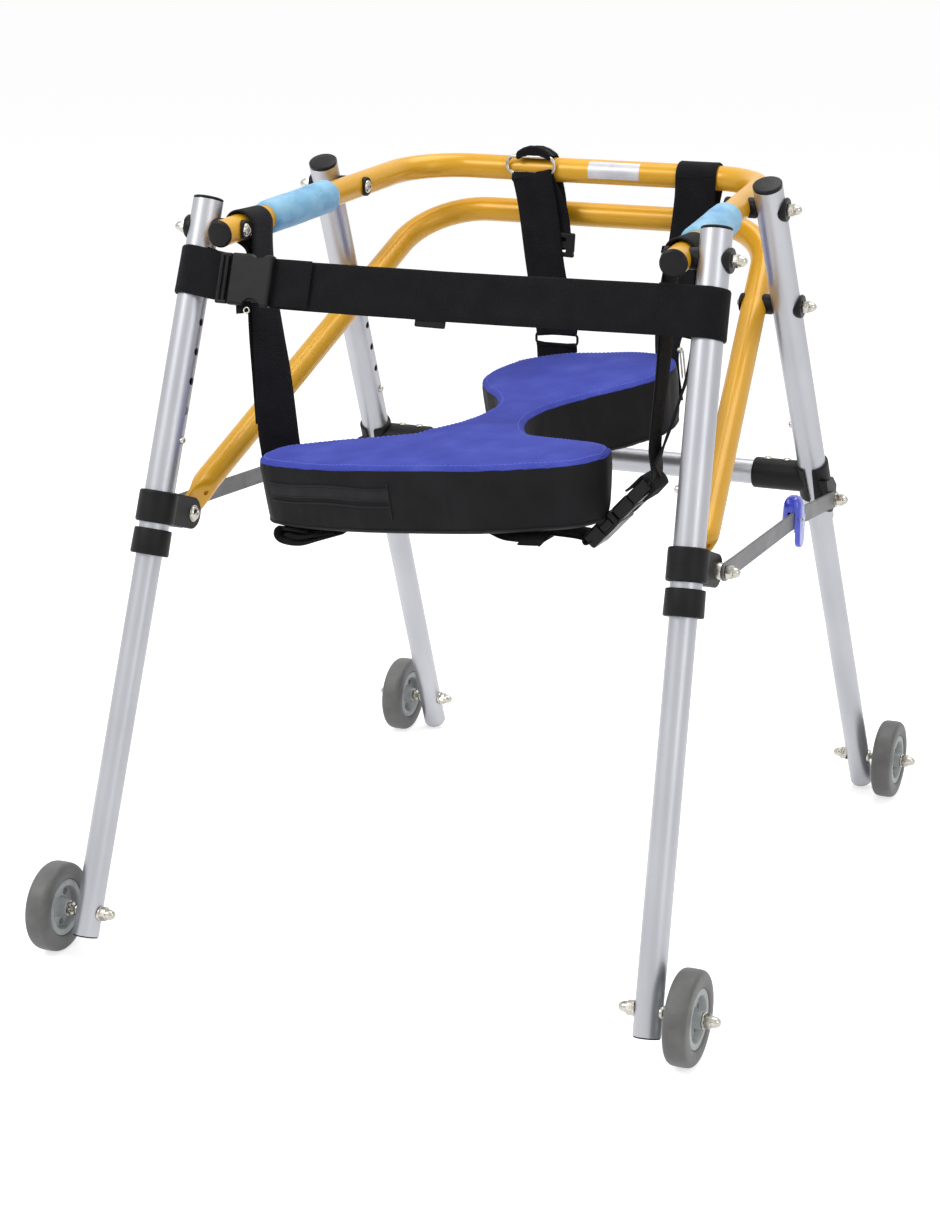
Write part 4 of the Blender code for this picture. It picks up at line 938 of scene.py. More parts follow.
def build_rear(leg):
    word, side, body = leg.word, leg.side, "rear_legs"
    turn = leg.frame(TEE_T)
    bar_at, spot = leg.at(TEE_T), E[word]
    wide = abs(bar_at.x)
    reach = wide - TEE_REACH
    along, pin = level_with(bar_at, side), level_with(spot, side)
    leg_x, stay_x = abs(leg.at(0.3126).x), abs(spot.x)
    upright = moved(bar(TEE_R, -TEE_H / 2, TEE_H / 2, 72, 0.0012), turn)
    lug = arc((spot.y, spot.z), 0.0120, -math.pi, 0, 24)
    lug += [(spot.y + 0.0120, spot.z + 0.012), (bar_at.y + 0.0100, bar_at.z), (bar_at.y - 0.0140, bar_at.z)]
    adds = [
        moved(bar(CROSS_R + 0.0030, reach, wide - 0.004, 64, 0.0018), along),
        slab(lug, side * (leg_x + 0.0040), side * (stay_x - STAY_THICK / 2 - GAP), 0.0010),
    ]
    slot = [(-0.0016, -0.040), (0.0016, -0.040), (0.0050, 0.040), (-0.0050, 0.040)]
    cuts = [
        moved(slab(slot, -0.020, 0.0, 0), turn @ Matrix.Rotation(math.pi / 2, 4, "Z")),
        moved(bar(UPPER_R + FIT, -0.09, TEE_H, 72), turn),
        moved(bar(CROSS_R + FIT, reach - 0.01, wide - UPPER_R - 0.0026, 64), along),
        moved(bar(BOLT_R + FIT, 0.2, 0.26, 28), pin),
    ]
    node = "tee_clamp_" + word
    piece(node, carved(upright, cuts, adds), BLACK, body, None, (node,), sharp=34, weighted=True)
    for k, offset in enumerate((0.0120, 0.0300)):
        eyelet = [(0.0, 0.0018), (0.0, 0.0040), (0.0010, 0.0038), (0.0016, 0.0026), (0.0012, 0.0018)]
        rivet = turned(eyelet, 32, closed=True, ease=0.0003)
        top = Vector((side * (reach + offset), bar_at.y, bar_at.z + CROSS_R + 0.0027))
        piece(f"tee_rivet_{word}_{k}", rivet, STEEL, body, Matrix.Translation(top))
    stud = bar(BOLT_R, leg_x + UPPER_R + 0.0008, stay_x + 0.005, 28)
    flange_at = stay_x + STAY_THICK / 2
    flange = hollow(flange_at + GAP, flange_at + 0.0013, 0.0070, BOLT_HOLE, 40, 0.0002)
    node = "stay_stud_" + word
    piece(node, joined(stud, flange), STEEL, body, pin, (node,))
    nut_at = level_with(spot, side, flange_at + 0.0014)
    piece("stay_stud_nut_" + word, acorn(0.0100), STEEL, body, nut_at, weighted=True)
    pivot("rear_pivot_bolt_" + word, leg, leg.at(0), -RAIL_INSET, RAIL_LEAN)
    at_d = leg.at(BRACE_D_T)
    brace_lean = math.atan2(D.y - C[word].y, D.z - C[word].z)
    pivot("brace_bolt_" + word, leg, at_d, BRACE_D_X - abs(at_d.x), brace_lean)


# rail and brace

RAIL_FRONT_Y, RAIL_REAR_Y, RAIL_BEND = -0.1809, 0.1646, 0.0580
BRACE_REAR_Y, BRACE_REAR_Z = 0.1845, 0.57627
BRACE_BEND, BRACE_KINK = 0.0700, 0.0400


def half_hoop(depth, corner, bend, flare):
    """Points of half a hoop in its own plane, from the middle of the back run round to the arm."""
    sweep = math.pi / 2 - flare
    used = bend * math.tan(sweep / 2)
    steps = 20
    points = []
    for k in range(7):
        points.append(Vector(((corner - used) * k / 6, depth, 0)))
    centre = Vector((corner - used, depth - bend, 0))
    for k in range(1, steps + 1):
        angle = sweep * k / steps
        points.append(centre + Vector((bend * math.sin(angle), bend * math.cos(angle), 0)))
    return points, Vector((math.sin(flare), -math.cos(flare), 0))


def build_rail():
    flat = math.cos(math.atan(RAIL_SLOPE))
    depth = (RAIL_REAR_Y - RAIL_FRONT_Y) / flat
    flare = math.atan(RAIL_FLARE * flat)
    points, heading = half_hoop(depth, rail_x(RAIL_REAR_Y), RAIL_BEND, flare)
    last = points[-1]
    length = last.y / -heading.y
    for k in range(1, 21):
        points.append(last + heading * length * k / 20)
    place = Matrix.Translation((0, RAIL_FRONT_Y,
                                rail_z(RAIL_FRONT_Y))) @ Matrix.Rotation(math.atan(RAIL_SLOPE), 4, "X")
    mirrored = [Vector((-p.x, p.y, p.z)) for p in points[:0:-1]]
    piece("top_rail", swept(mirrored + points, RAIL_R, 56), YELLOW, "rail", place, ("top_rail",), sharp=50)
    for word, side in SIDES:
        rows = [(0.006, 0), (0.006, RAIL_R - 0.0015), (-GAP / 2, RAIL_R - 0.0015),
                (-GAP / 2, RAIL_R + 0.0003)]
        rows += [(-0.0018, RAIL_R + 0.0002), (-0.0030, RAIL_R - 0.0016), (-0.0034, 0.005), (-0.0035, 0)]
        node = "rail_cap_" + word
        piece(node, turned(rows, 64), GLOSS_BLACK, "rail", rail_frame(RAIL_FRONT_Y, side), (node,))
    build_grips(flat)
    build_label(place, depth)


GRIP_R, GRIP_FRONT_Y, GRIP_REAR_Y = 0.0145, -0.1110, -0.0060


def build_grips(flat):
    """Foam sleeves, a little lumpy, with rounded ends that bell over the rail."""
    span = (GRIP_REAR_Y - GRIP_FRONT_Y) / flat
    for word, side in SIDES:
        rows = [(0.0, RAIL_R + FIT), (0.0004, GRIP_R - 0.0024), (0.0022, GRIP_R - 0.0005)]
        for k in range(1, 40):
            rows.append((0.0022 + (span - 0.0044) * k / 40, GRIP_R))
        rows += [(span - 0.0022, GRIP_R - 0.0005), (span - 0.0004, GRIP_R - 0.0024), (span, RAIL_R + FIT)]
        bm = turned(rows, 72, closed=True, ease=0)
        for v in bm.verts:
            radius = math.hypot(v.co.x, v.co.y)
            if radius > RAIL_R + 0.0005:
                lump = noise.noise(Vector((v.co.x * 60, v.co.y * 60 + side * 9, v.co.z * 38)))
                fine = noise.noise(Vector((v.co.x * 260, v.co.y * 260, v.co.z * 200)))
                v.co.xy *= 1 + (lump * 0.00050 + fine * 0.00014) / radius
        node = "grip_" + word
        piece(node, bm, FOAM, "rail", rail_frame(GRIP_FRONT_Y, side), (node,), sharp=60)


def build_label(place, depth):
    """A bare foil label bent round the front upper face of the rail's back run."""
    low_x, high_x = 0.0010, 0.0500
    steps_x, steps_a = 12, 14
    start, end = math.radians(205), math.radians(292)
    skins = []
    for radius in (RAIL_R + 0.00005, RAIL_R + 0.00022):
        rows = []
        for k in range(steps_x + 1):
            x = low_x + (high_x - low_x) * k / steps_x
            row = []
            for s in range(steps_a + 1):
                angle = start + (end - start) * s / steps_a
                row.append(Vector((x, depth + radius * math.sin(angle), -radius * math.cos(angle))))
            rows.append(row)
        skins.append(rows)
    rings = [inner + outer[::-1] for inner, outer in zip(*skins)]
    piece("rail_label", lofted(rings), LABEL, "rail", place)


def build_brace():
    spot = C["right"]
    slope = math.atan2(BRACE_REAR_Z - spot.z, BRACE_REAR_Y - spot.y)
    depth = math.hypot(BRACE_REAR_Z - spot.z, BRACE_REAR_Y - spot.y)
    to_d = math.hypot(D.z - spot.z, D.y - spot.y)
    flare = math.atan2(BRACE_END_X - BRACE_D_X, to_d - BRACE_KINK)
    corner = BRACE_END_X - (depth - BRACE_KINK) * math.tan(flare)
    points, heading = half_hoop(depth, corner, BRACE_BEND, flare)
    kink_r = 0.060
    kink = kink_r * math.tan(flare / 2)
    last = points[-1]
    length = (last.y - BRACE_KINK) / -heading.y - kink
    for k in range(1, 17):
        points.append(last + heading * length * k / 16)
    centre = points[-1] + Vector((heading.y, -heading.x, 0)) * kink_r
    start = points[-1] - centre
    for k in range(1, 7):
        points.append(centre + Matrix.Rotation(-flare * k / 6, 3, "Z") @ start)
    tail = points[-1]
    end_y = -BRACE_FLAT_W / 2
    rings = []
    sides = 56
    straight = [Vector((tail.x, tail.y + (end_y - tail.y) * k / 30, 0)) for k in range(1, 31)]
    count = len(points)
    everything = points + straight
    for k, (point, (tangent, _, _)) in enumerate(zip(everything, along_path(everything))):
        across = Vector((-tangent.y, tangent.x, 0)).normalized()
        flatness = min(max((tail.y + 0.004 - point.y) / 0.026, 0), 1) if k >= count - 2 else 0
        flatness = flatness * flatness * (3 - 2 * flatness)
        power = 1 + flatness * 2.2
        wide = RAIL_R + (BRACE_FLAT_W / 2 - RAIL_R) * flatness
        thick = RAIL_R + (BRACE_FLAT / 2 - RAIL_R) * flatness
        if point.y < 0:
            wide = min(wide, math.sqrt(max((BRACE_FLAT_W / 2) ** 2 - point.y**2, 1e-9)) + 0.0004)
        ring = []
        for s in range(sides):
            angle = math.tau * s / sides
            c, n = math.cos(angle), math.sin(angle)
            a = math.copysign(abs(c) ** (1 / power), c) * thick if flatness else c * thick
            b = n * wide
            ring.append(point + across * a + Vector((0, 0, b)))
        rings.append(ring)
    whole = [[Vector((-p.x, p.y, p.z)) for p in ring] for ring in rings[:0:-1]] + rings
    bm = lofted(whole)
    cuts = []
    for _, side in SIDES:
        x = side * BRACE_END_X
        cuts.append(moved(bar(0.0067, -0.01, 0.01, 40), outward((x, 0, 0), 1)))
        cuts.append(moved(bar(0.0022, -0.02, 0.02, 24), outward((x, 0.026, 0), 1)))
    place = Matrix.Translation((0, spot.y, spot.z)) @ Matrix.Rotation(slope, 4, "X")
    piece("brace", carved(bm, cuts), YELLOW, "brace_frame", place, ("brace",), sharp=45, weighted=True)


def build_cross():
    at = LEGS["rear", "right"].at(TEE_T)
    reach = at.x - UPPER_R - 0.0034
    tube = hollow(-reach, reach, CROSS_R, CROSS_R - WALL, 64)
    piece("cross_bar", tube, ALUMINIUM, "rear_legs", level_with(at, 1), ("cross_bar",), sharp=30)


# stays and levers

STAY_W = 0.0150
KNEE_LONG_X, KNEE_SHORT_X = 0.24616, 0.24316


def stay_bar(length, x_start, x_end):
    """A flat strip with round ends along local Y, joggled along X near its first end."""
    half, cut = STAY_W / 2, 0.016
    outline = arc((0, 0), half, math.pi / 2, 3 * math.pi / 2, 24)
    count = 14
    outline += [(cut * 0.4 + (length - cut * 0.4) * k / count, -half) for k in range(count)]
    outline += arc((length, 0), half, -math.pi / 2, math.pi / 2, 24)
    outline += [(length - (length - cut * 0.4) * k / count, half) for k in range(1, count + 1)]
    bm = slab(outline, 0, STAY_THICK, 0.0005, 2)
    for v in bm.verts:
        t = min(max((v.co.y - cut) / (length - 2 * cut), 0), 1)
        v.co.x += x_start - STAY_THICK / 2 + (x_end - x_start) * t
    hole = BOLT_R + FIT
    cuts = [moved(bar(hole, -0.01, 0.01, 28), outward((x, at, 0), 1)) for x,
            at in ((x_start, 0), (x_end, length))]
    return carved(bm, cuts)


def build_stays(word, side):
    mirror = Matrix.Diagonal((side, 1, 1, 1))
    c, e, k = C[word], E[word], K[word]
    long_length = math.hypot(k.y - c.y, k.z - c.z)
    short_length = math.hypot(k.y - e.y, k.z - e.z)

    def toward(start, end):
        turn = Matrix.Rotation(math.atan2(end.z - start.z, end.y - start.y), 4, "X")
        return Matrix.Translation((0, start.y, start.z)) @ turn @ mirror

    bars = (
        ("stay_long_" + word, long_length, abs(c.x), KNEE_LONG_X, toward(c, k), "stay_long_body_" + word),
        ("stay_short_" + word, short_length, abs(e.x), KNEE_SHORT_X, toward(e, k), "stay_short_body_" + word),
    )
    for name, length, x_start, x_end, place, body in bars:
        piece(name, moved(stay_bar(length, x_start, x_end), place), STAY, body, None, (name,), sharp=32,
              weighted=True)
    pin = bar(BOLT_R, KNEE_SHORT_X - 0.003, 0.2516, 28)
    head = moved(screw_head(0.0050, 0.0018), Matrix.Translation((0, 0, 0.2514)))
    piece("knee_pin_" + word, joined(pin, head), STEEL, "stay_long_body_" + word, level_with(k, side))
    build_lever(word, side, k)


def build_lever(word, side, knee):
    """A glossy dome over the knee, slotted for the two strips, with a thumb lobe hanging outside."""
    low, high = KNEE_SHORT_X - 0.0078, KNEE_LONG_X + 0.0064
    middle, half_x, half_y = (low + high) / 2, (high - low) / 2, 0.0100
    rings = []
    levels = [(-0.0100, 0.98), (-0.0088, 1.04), (-0.004, 1.03), (0.003, 1.0), (0.009, 0.96)]
    for k in range(1, 9):
        angle = k * math.pi / 2 / 9
        levels.append((0.009 + 0.0115 * math.sin(angle), 0.96 * math.cos(angle) ** 0.62))
    for z, size in levels:
        ring = []
        for s in range(48):
            angle = math.tau * s / 48
            c, n = math.cos(angle), math.sin(angle)
            x = math.copysign(abs(c) ** 0.62, c) * half_x * size
            y = math.copysign(abs(n) ** 0.62, n) * half_y * size
            ring.append((middle + x, y, z))
        rings.append(ring)
    dome = lofted(rings)
    tongue = arc((0, -0.0165), 0.0078, -math.pi, 0, 20) + [(0.0088, 0.004), (-0.0088, 0.004)]
    slot = (KNEE_LONG_X - KNEE_SHORT_X + STAY_THICK + 0.0012, 0.03, 0.024)
    cuts = [
        block(slot, ((KNEE_LONG_X + KNEE_SHORT_X) / 2, 0, -0.0045), 0.0008, 2),
        moved(bar(BOLT_R + 0.0002, -0.01, 0.012, 28), outward((high, 0, 0), 1)),
    ]
    bm = carved(dome, cuts, [slab(tongue, high - 0.0048, high, 0.0013)])
    bm = moved(bm, Matrix.Diagonal((side, 1, 1, 1)))
    node = "lock_lever_" + word
    piece(node, bm, LEVER, "lever_body_" + word, Matrix.Translation((0, knee.y, knee.z)), (node,), sharp=34,
          weighted=True)


# waist belt

BELT_T = {"left": 0.0375, "right": 0.0430}
BELT_DROP = 0.0068
BELT_W = 0.0405


def belt_sag(x, half):
    """The belt hangs lowest under its buckle, near the left leg."""
    low_at = -0.150
    t = (x + half) / (low_at + half) if x < low_at else (half - x) / (half - low_at)
    t = min(max(t, 0), 1)
    return -BELT_DROP * math.sin(t * math.pi / 2)


def build_belt():
    left, right = LEGS["front", "left"], LEGS["front", "right"]
    lean = math.atan2(A.y - left.at(1).y, A.z - left.at(1).z)
    ends = left.at(BELT_T["left"]), right.at(BELT_T["right"])
    tilt = math.atan2(ends[0].z - ends[1].z, ends[1].x - ends[0].x)
    tipped = Matrix.Rotation(-lean, 4, "X") @ Matrix.Rotation(tilt, 4, "Y")
    turn = Matrix.Translation((ends[0] + ends[1]) / 2) @ tipped
    half = (ends[1].x - ends[0].x) / 2
    splay = math.atan2(right.at(1).x - right.at(0).x, left.step.length)
    round_r = UPPER_R + 0.0016
    path = []

    def add(x, y, tilt, low=None):
        path.append(((x, y, belt_sag(x, half) if low is None else low), (math.sin(tilt), 0, math.cos(tilt))))

    add(-half + 0.0148, -0.0128, splay, 0)
    for k in range(12):
        angle = math.radians(-35 + 25 * k)
        add(-half + round_r * math.cos(angle), round_r * math.sin(angle), splay, 0)
    add(-half, -round_r - 0.0004, splay, 0)
    for k in range(1, 24):
        x = -half + 2 * half * k / 24
        ripple = 0.0006 * math.sin(x * 41) + 0.0004 * math.sin(x * 97 + 1)
        add(x, -round_r - 0.0006 + ripple, splay * (-1 + 2 * k / 24) * -0.5)
    add(half, -round_r - 0.0004, -splay, 0)
    for k in range(10):
        angle = math.radians(-65 + 28 * k)
        add(half + round_r * math.cos(angle), round_r * math.sin(angle), -splay, 0)
    add(half - 0.024, -0.0104, -splay, 0)
    add(half - 0.040, -0.0122, -splay, 0)
    strap("waist_belt", path, BELT_W, "front_legs", turn, ("waist_belt",))
    lap = []
    for x in (-0.182, -0.165, -0.145, -0.128, -0.116, -0.1105):
        lap.append(((x, -round_r - 0.0030 - (0.0006 if x > -0.13 else 0), belt_sag(x, half) + 0.0008),
                    (0, 0, 1)))
    strap("belt_lap", lap, BELT_W * 0.97, "front_legs", turn, per=5)
    x = -0.0022
    keeper = block((0.0265, 0.0034, 0.0424), (x, -round_r + 0.0026, belt_sag(x, half) - 0.0042), 0.0014, 4)
    piece("belt_keeper", keeper, BLACK, "front_legs", turn)
    build_belt_buckle(turn, half, round_r)


def build_belt_buckle(turn, half, round_r):
    """A side release case with its two finger notches, prongs, seam and ladder bars."""
    wide, deep, tall = 0.0385, 0.0098, 0.0430
    x0, y0 = -0.1620, -round_r - 0.0018 - deep / 2 - 0.0010
    sag = belt_sag(x0, half) + 0.0002
    case = block((wide, deep, tall), (0, 0, 0), 0.0022, 4)
    for v in case.verts:
        if v.co.y < 0:
            fall = min(max((abs(v.co.x) - wide * 0.30) / (wide * 0.2), 0), 1)
            v.co.y += 0.0026 * fall * fall
    sideways = Matrix.Rotation(math.pi / 2, 4, "X")
    notches = ((0.0088, 0.0040, -tall / 2 - 0.0022), (0.0082, 0.0060, tall / 2 + 0.0042))
    cuts = [moved(bar(r, -0.01, 0.01, 40), Matrix.Translation((x, 0, z)) @ sideways) for r, x, z in notches]
    cuts.append(block((0.0006, 0.0014, tall + 0.01), (-0.0120, -deep / 2, 0)))
    cuts += [block((0.0200, 0.0010, 0.0007), (0.0050, -deep / 2, z)) for z in (0.0070, -0.0070)]
    case = carved(case, cuts)
    place = turn @ Matrix.Translation((x0, y0, sag))
    piece("belt_buckle", case, GLOSS_BLACK, "front_legs", place, ("belt_buckle",), sharp=32, weighted=True)
    prongs = joined(
        block((0.0150, 0.0060, 0.0050), (0.0042, 0.0008, -tall / 2 + 0.0062), 0.0015),
        block((0.0130, 0.0060, 0.0040), (0.0062, 0.0008, tall / 2 - 0.0048), 0.0012),
    )
    piece("belt_prongs", prongs, BLACK, "front_legs", place)
    ends = (-0.0196, 0.0196)
    bars = [moved(bar(0.0017, *ends, 20), Matrix.Translation((x, -0.0005, 0))) for x in (-0.0232, -0.0280)]
    bars += [block((0.0105, 0.0040, 0.0030), (-0.0244, -0.0003, z), 0.0010) for z in ends]
    piece("belt_ladder", joined(*bars), GLOSS_BLACK, "front_legs", place)
    tail = [((-0.006, 0.0030, -0.012), (1, 0, 0)), ((-0.0060, 0.0040, -0.020), (1, 0, 0.1))]
    tail += [((-0.0050, 0.0048, -0.0270), (1, 0, 0.45))]
    strap("belt_tail", tail, 0.0130, "front_legs", place, per=5, thick=0.0016)
    ring = [(math.cos(math.tau * k / 24) * 0.0024, -0.0012,
             math.sin(math.tau * k / 24) * 0.0024) for k in range(24)]
    ring = [Vector(p) + Vector((-0.0012, 0.0034, -0.0246)) for p in ring]
    piece("belt_eye", swept(ring, 0.0007, 10, True), STEEL, "front_legs", place)


# seat

SEAT_TURN = Matrix.Rotation(-0.0806, 4, "Z") @ Matrix.Rotation(0.0631, 4, "X")
SEAT_TURN = SEAT_TURN @ Matrix.Rotation(-0.1044, 4, "Y")
SEAT_PLACE = Matrix.Translation((0.0046, -0.0939, 0.4303)) @ SEAT_TURN
SEAT_THICK, SEAT_MID, SEAT_PULL = 0.0580, 0.1500, 0.0030
SEAT_RISE_FROM, SEAT_RISE = 0.2554, 0.0768
HALF_WIDTHS = [
    (0.006, 0.0920),
    (0.020, 0.1398),
    (0.040, 0.1580),
    (0.056, 0.1602),
    (0.078, 0.1516),
    (0.096, 0.1200),
    (0.1068, 0.0860),
    (0.122, 0.0580),
    (0.150, 0.0390),
    (0.178, 0.0290),
    (0.2023, 0.0266),
    (0.232, 0.0320),
    (0.262, 0.0480),
    (0.288, 0.0720),
    (0.315, 0.0890),
    (0.345, 0.0917),
    (0.375, 0.0800),
    (0.392, 0.0560),
]
SEAT_LENGTH = 0.3985


class Outline:
    """The seat's edge seen from above: a closed curve with points and outward normals by length."""

    def __init__(self, count=260):
        half = [Vector((h, v, 0)) for v, h in HALF_WIDTHS]
        loop = [Vector((0.045, 0.0008, 0))] + half + [Vector((0.028, SEAT_LENGTH - 0.0004, 0))]
        loop += [Vector((0, SEAT_LENGTH, 0))] + [Vector((-p.x, p.y, 0)) for p in loop[::-1]]
        loop += [Vector((0, 0, 0))]
        fine = smooth_path([loop[-1]] + loop + [loop[0]], 12)
        fine = fine[12:-1]
        lengths = [0.0]
        for a, b in zip(fine, fine[1:]):
            lengths.append(lengths[-1] + (b - a).length)
        self.total = lengths[-1]
        self.points = []
        k = 0
        for n in range(count):
            want = self.total * n / count
            while lengths[k + 1] < want:
                k += 1
            t = (want - lengths[k]) / (lengths[k + 1] - lengths[k])
            spot = fine[k].lerp(fine[k + 1], t)
            self.points.append(Vector((spot.x, spot.y - SEAT_MID, 0)))
        self.normals = []
        for n in range(count):
            along = self.points[(n + 1) % count] - self.points[n - 1]
            self.normals.append(Vector((along.y, -along.x, 0)).normalized())
        middle = sum(self.points, Vector()) / count
        if (self.points[0] - middle).dot(self.normals[0]) < 0:
            self.normals = [-n for n in self.normals]

    def at(self, s):
        """Point and normal at a length along the edge."""
        n = s / self.total * len(self.points)
        k = int(math.floor(n))
        t = n - k
        a, b = k % len(self.points), (k + 1) % len(self.points)
        return self.points[a].lerp(self.points[b], t), self.normals[a].lerp(self.normals[b], t).normalized()

    def nearest(self, x, y):
        """The length along the edge that lies nearest to (x, y) and how far out of the edge it is."""
        spot = Vector((x, y, 0))
        k = min(range(len(self.points)), key=lambda n: (self.points[n] - spot).length_squared)
        off = spot - self.points[k]
        along = Vector((-self.normals[k].y, self.normals[k].x, 0))
        return (k / len(self.points)) * self.total + off.dot(along), off.dot(self.normals[k])


def seat_rise(y):
    return max(y + SEAT_MID - SEAT_RISE_FROM, 0) * SEAT_RISE


def pulled(depth, x=0.0, y=0.0):
    """How far the side has drawn in at a depth below the top; the front right end draws in most."""
    end = min(max((x - 0.06) / 0.06, 0), 1) if y < -0.04 else 0
    return (SEAT_PULL + 0.0050 * end) * min(max(depth / SEAT_THICK, 0), 1) ** 1.25


def side_point(edge, s, depth, out=0.0):
    spot, normal = edge.at(s)
    spot = spot + normal * (out - pulled(depth, spot.x, spot.y))
    return Vector((spot.x, spot.y, seat_rise(spot.y) - depth))


def cushion_base(edge, shrink):
    """The uninflated cushion: rings down the side, closed above and below."""
    levels = [(0.0, 0.0046), (0.0007, 0.0022), (0.0022, 0.0007), (0.0046, 0.0)]
    levels += [(0.012, 0), (0.022, 0), (0.032, 0), (0.042, 0), (0.050, 0)]
    levels += [(SEAT_THICK - 0.0036, 0.0004), (SEAT_THICK - 0.0012, 0.0018), (SEAT_THICK, 0.0046)]
    rings = []
    for depth, inset in levels:
        ring = []
        for spot, normal in zip(edge.points, edge.normals):
            point = spot - normal * (inset + pulled(depth, spot.x, spot.y) + shrink)
            ring.append((point.x, point.y, seat_rise(point.y) - depth))
        rings.append(ring)
    return lofted(rings)


def applied(thing):
    """A new mesh of the object as its modifiers leave it."""
    graph = bpy.context.evaluated_depsgraph_get()
    return bpy.data.meshes.new_from_object(thing.evaluated_get(graph), depsgraph=graph)


def inflate(thing, pinned, pressure):
    """Runs Blender's cloth under inner pressure and keeps the last frame's mesh."""
    frames = 20
    group = thing.vertex_groups.new(name="held")
    for index, weight in pinned:
        group.add([index], weight, "REPLACE")
    step = thing.modifiers.new("cloth", "CLOTH")
    cloth = step.settings
    cloth.quality = 6
    cloth.mass = 0.25
    cloth.tension_stiffness = cloth.compression_stiffness = 18
    cloth.shear_stiffness = 8
    cloth.bending_stiffness = 0.6
    cloth.use_pressure = True
    cloth.uniform_pressure_force = pressure
    cloth.effector_weights.gravity = 0
    cloth.vertex_group_mass = "held"
    cloth.pin_stiffness = 1.0
    step.collision_settings.use_collision = False
    step.point_cache.frame_start, step.point_cache.frame_end = 1, frames
    scene = bpy.context.scene
    for number in range(1, frames + 1):
        scene.frame_set(number)
    mesh = applied(thing)
    scene.frame_set(1)
    return mesh


def build_cushion(edge):
    bm = cushion_base(edge, 0.0008)
    bmesh.ops.recalc_face_normals(bm, faces=bm.faces)
    seat = linked("seat_cushion", meshed("seat", bm))
    step = seat.modifiers.new("voxels", "REMESH")
    step.mode = "VOXEL"
    step.voxel_size = 0.0042
    mesh = applied(seat)
    seat.modifiers.clear()
    seat.data = mesh
    before = [v.co.copy() for v in mesh.vertices]
    pinned = []
    facts = []
    for v in mesh.vertices:
        s, out = edge.nearest(v.co.x, v.co.y)
        depth = seat_rise(v.co.y) - v.co.z
        facts.append((s, depth, out))
        rim = abs(depth - 0.003) < 0.0035 and out > -0.0065
        foot = depth > SEAT_THICK - 0.006
        if rim or foot:
            pinned.append((v.index, 1.0))
    mesh = inflate(seat, pinned, 4.0)
    seat.modifiers.clear()
    seat.vertex_groups.clear()
    seat.data = mesh
    for v, old, (s, depth, out) in zip(mesh.vertices, before, facts):
        step_to = v.co - old
        top = depth < 0.003 and out < -0.004
        cap = 0.0050 if top else 0.0030
        if step_to.length > cap:
            step_to = step_to.normalized() * cap
        v.co = old + step_to
    bm = bmesh.new()
    bm.from_mesh(mesh)
    bmesh.ops.smooth_vert(bm, verts=bm.verts, factor=0.35, use_axis_x=True, use_axis_y=True, use_axis_z=True)
    bm.to_mesh(mesh)
    bm.free()
    step = seat.modifiers.new("finer", "SUBSURF")
    step.levels = step.render_levels = 1
    mesh = applied(seat)
    seat.modifiers.clear()
    seat.data = mesh
    values = []
    for v in mesh.vertices:
        s, out = edge.nearest(v.co.x, v.co.y)
        depth = seat_rise(v.co.y) - v.co.z
        flank = min(max((depth - 0.006) / 0.010, 0), 1) * min(max((SEAT_THICK - 0.004 - depth) / 0.010, 0), 1)
        if flank > 0:
            _, normal = edge.at(s)
            wave = noise.noise(Vector((s * 34, depth * 9, 3.1)))
            wave = wave + 0.45 * noise.noise(Vector((s * 90, depth * 16, 7.7)))
            deep = 0.0020 if v.co.y > -0.045 else 0.0012
            v.co += normal * deep * wave * flank
        elif depth < 0.002:
            v.co.z += 0.0005 * noise.noise(Vector((v.co.x * 28, v.co.y * 28, 1.3)))
            crease = (v.co.y + SEAT_MID - 0.118 - 0.05 * abs(v.co.x)) / 0.007
            v.co.z -= 0.0009 * math.exp(-crease * crease)
        values += [s, depth, out]
    layer = mesh.attributes.new("cloth", "FLOAT_VECTOR", "POINT")
    layer.data.foreach_set("vector", values)
    mesh.materials.clear()
    mesh.materials.append(COVER)
    mesh.shade_smooth()
    seat.matrix_world = SEAT_PLACE
    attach(seat, "rail")
    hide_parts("seat")
    return seat


def on_top(seat, x, y):
    """The height of the cushion's top at (x, y), in its own frame."""
    hit, spot, _, _ = seat.ray_cast(Vector((x, y, 0.05)), Vector((0, 0, -1)))
    return spot.z if hit else 0.0


def on_cover(seat, points, lift):
    """The points brought to the cushion's surface and out of it by lift."""
    made = []
    for point in points:
        _, spot, normal, _ = seat.closest_point_on_mesh(point)
        made.append(spot + normal * lift)
    return made


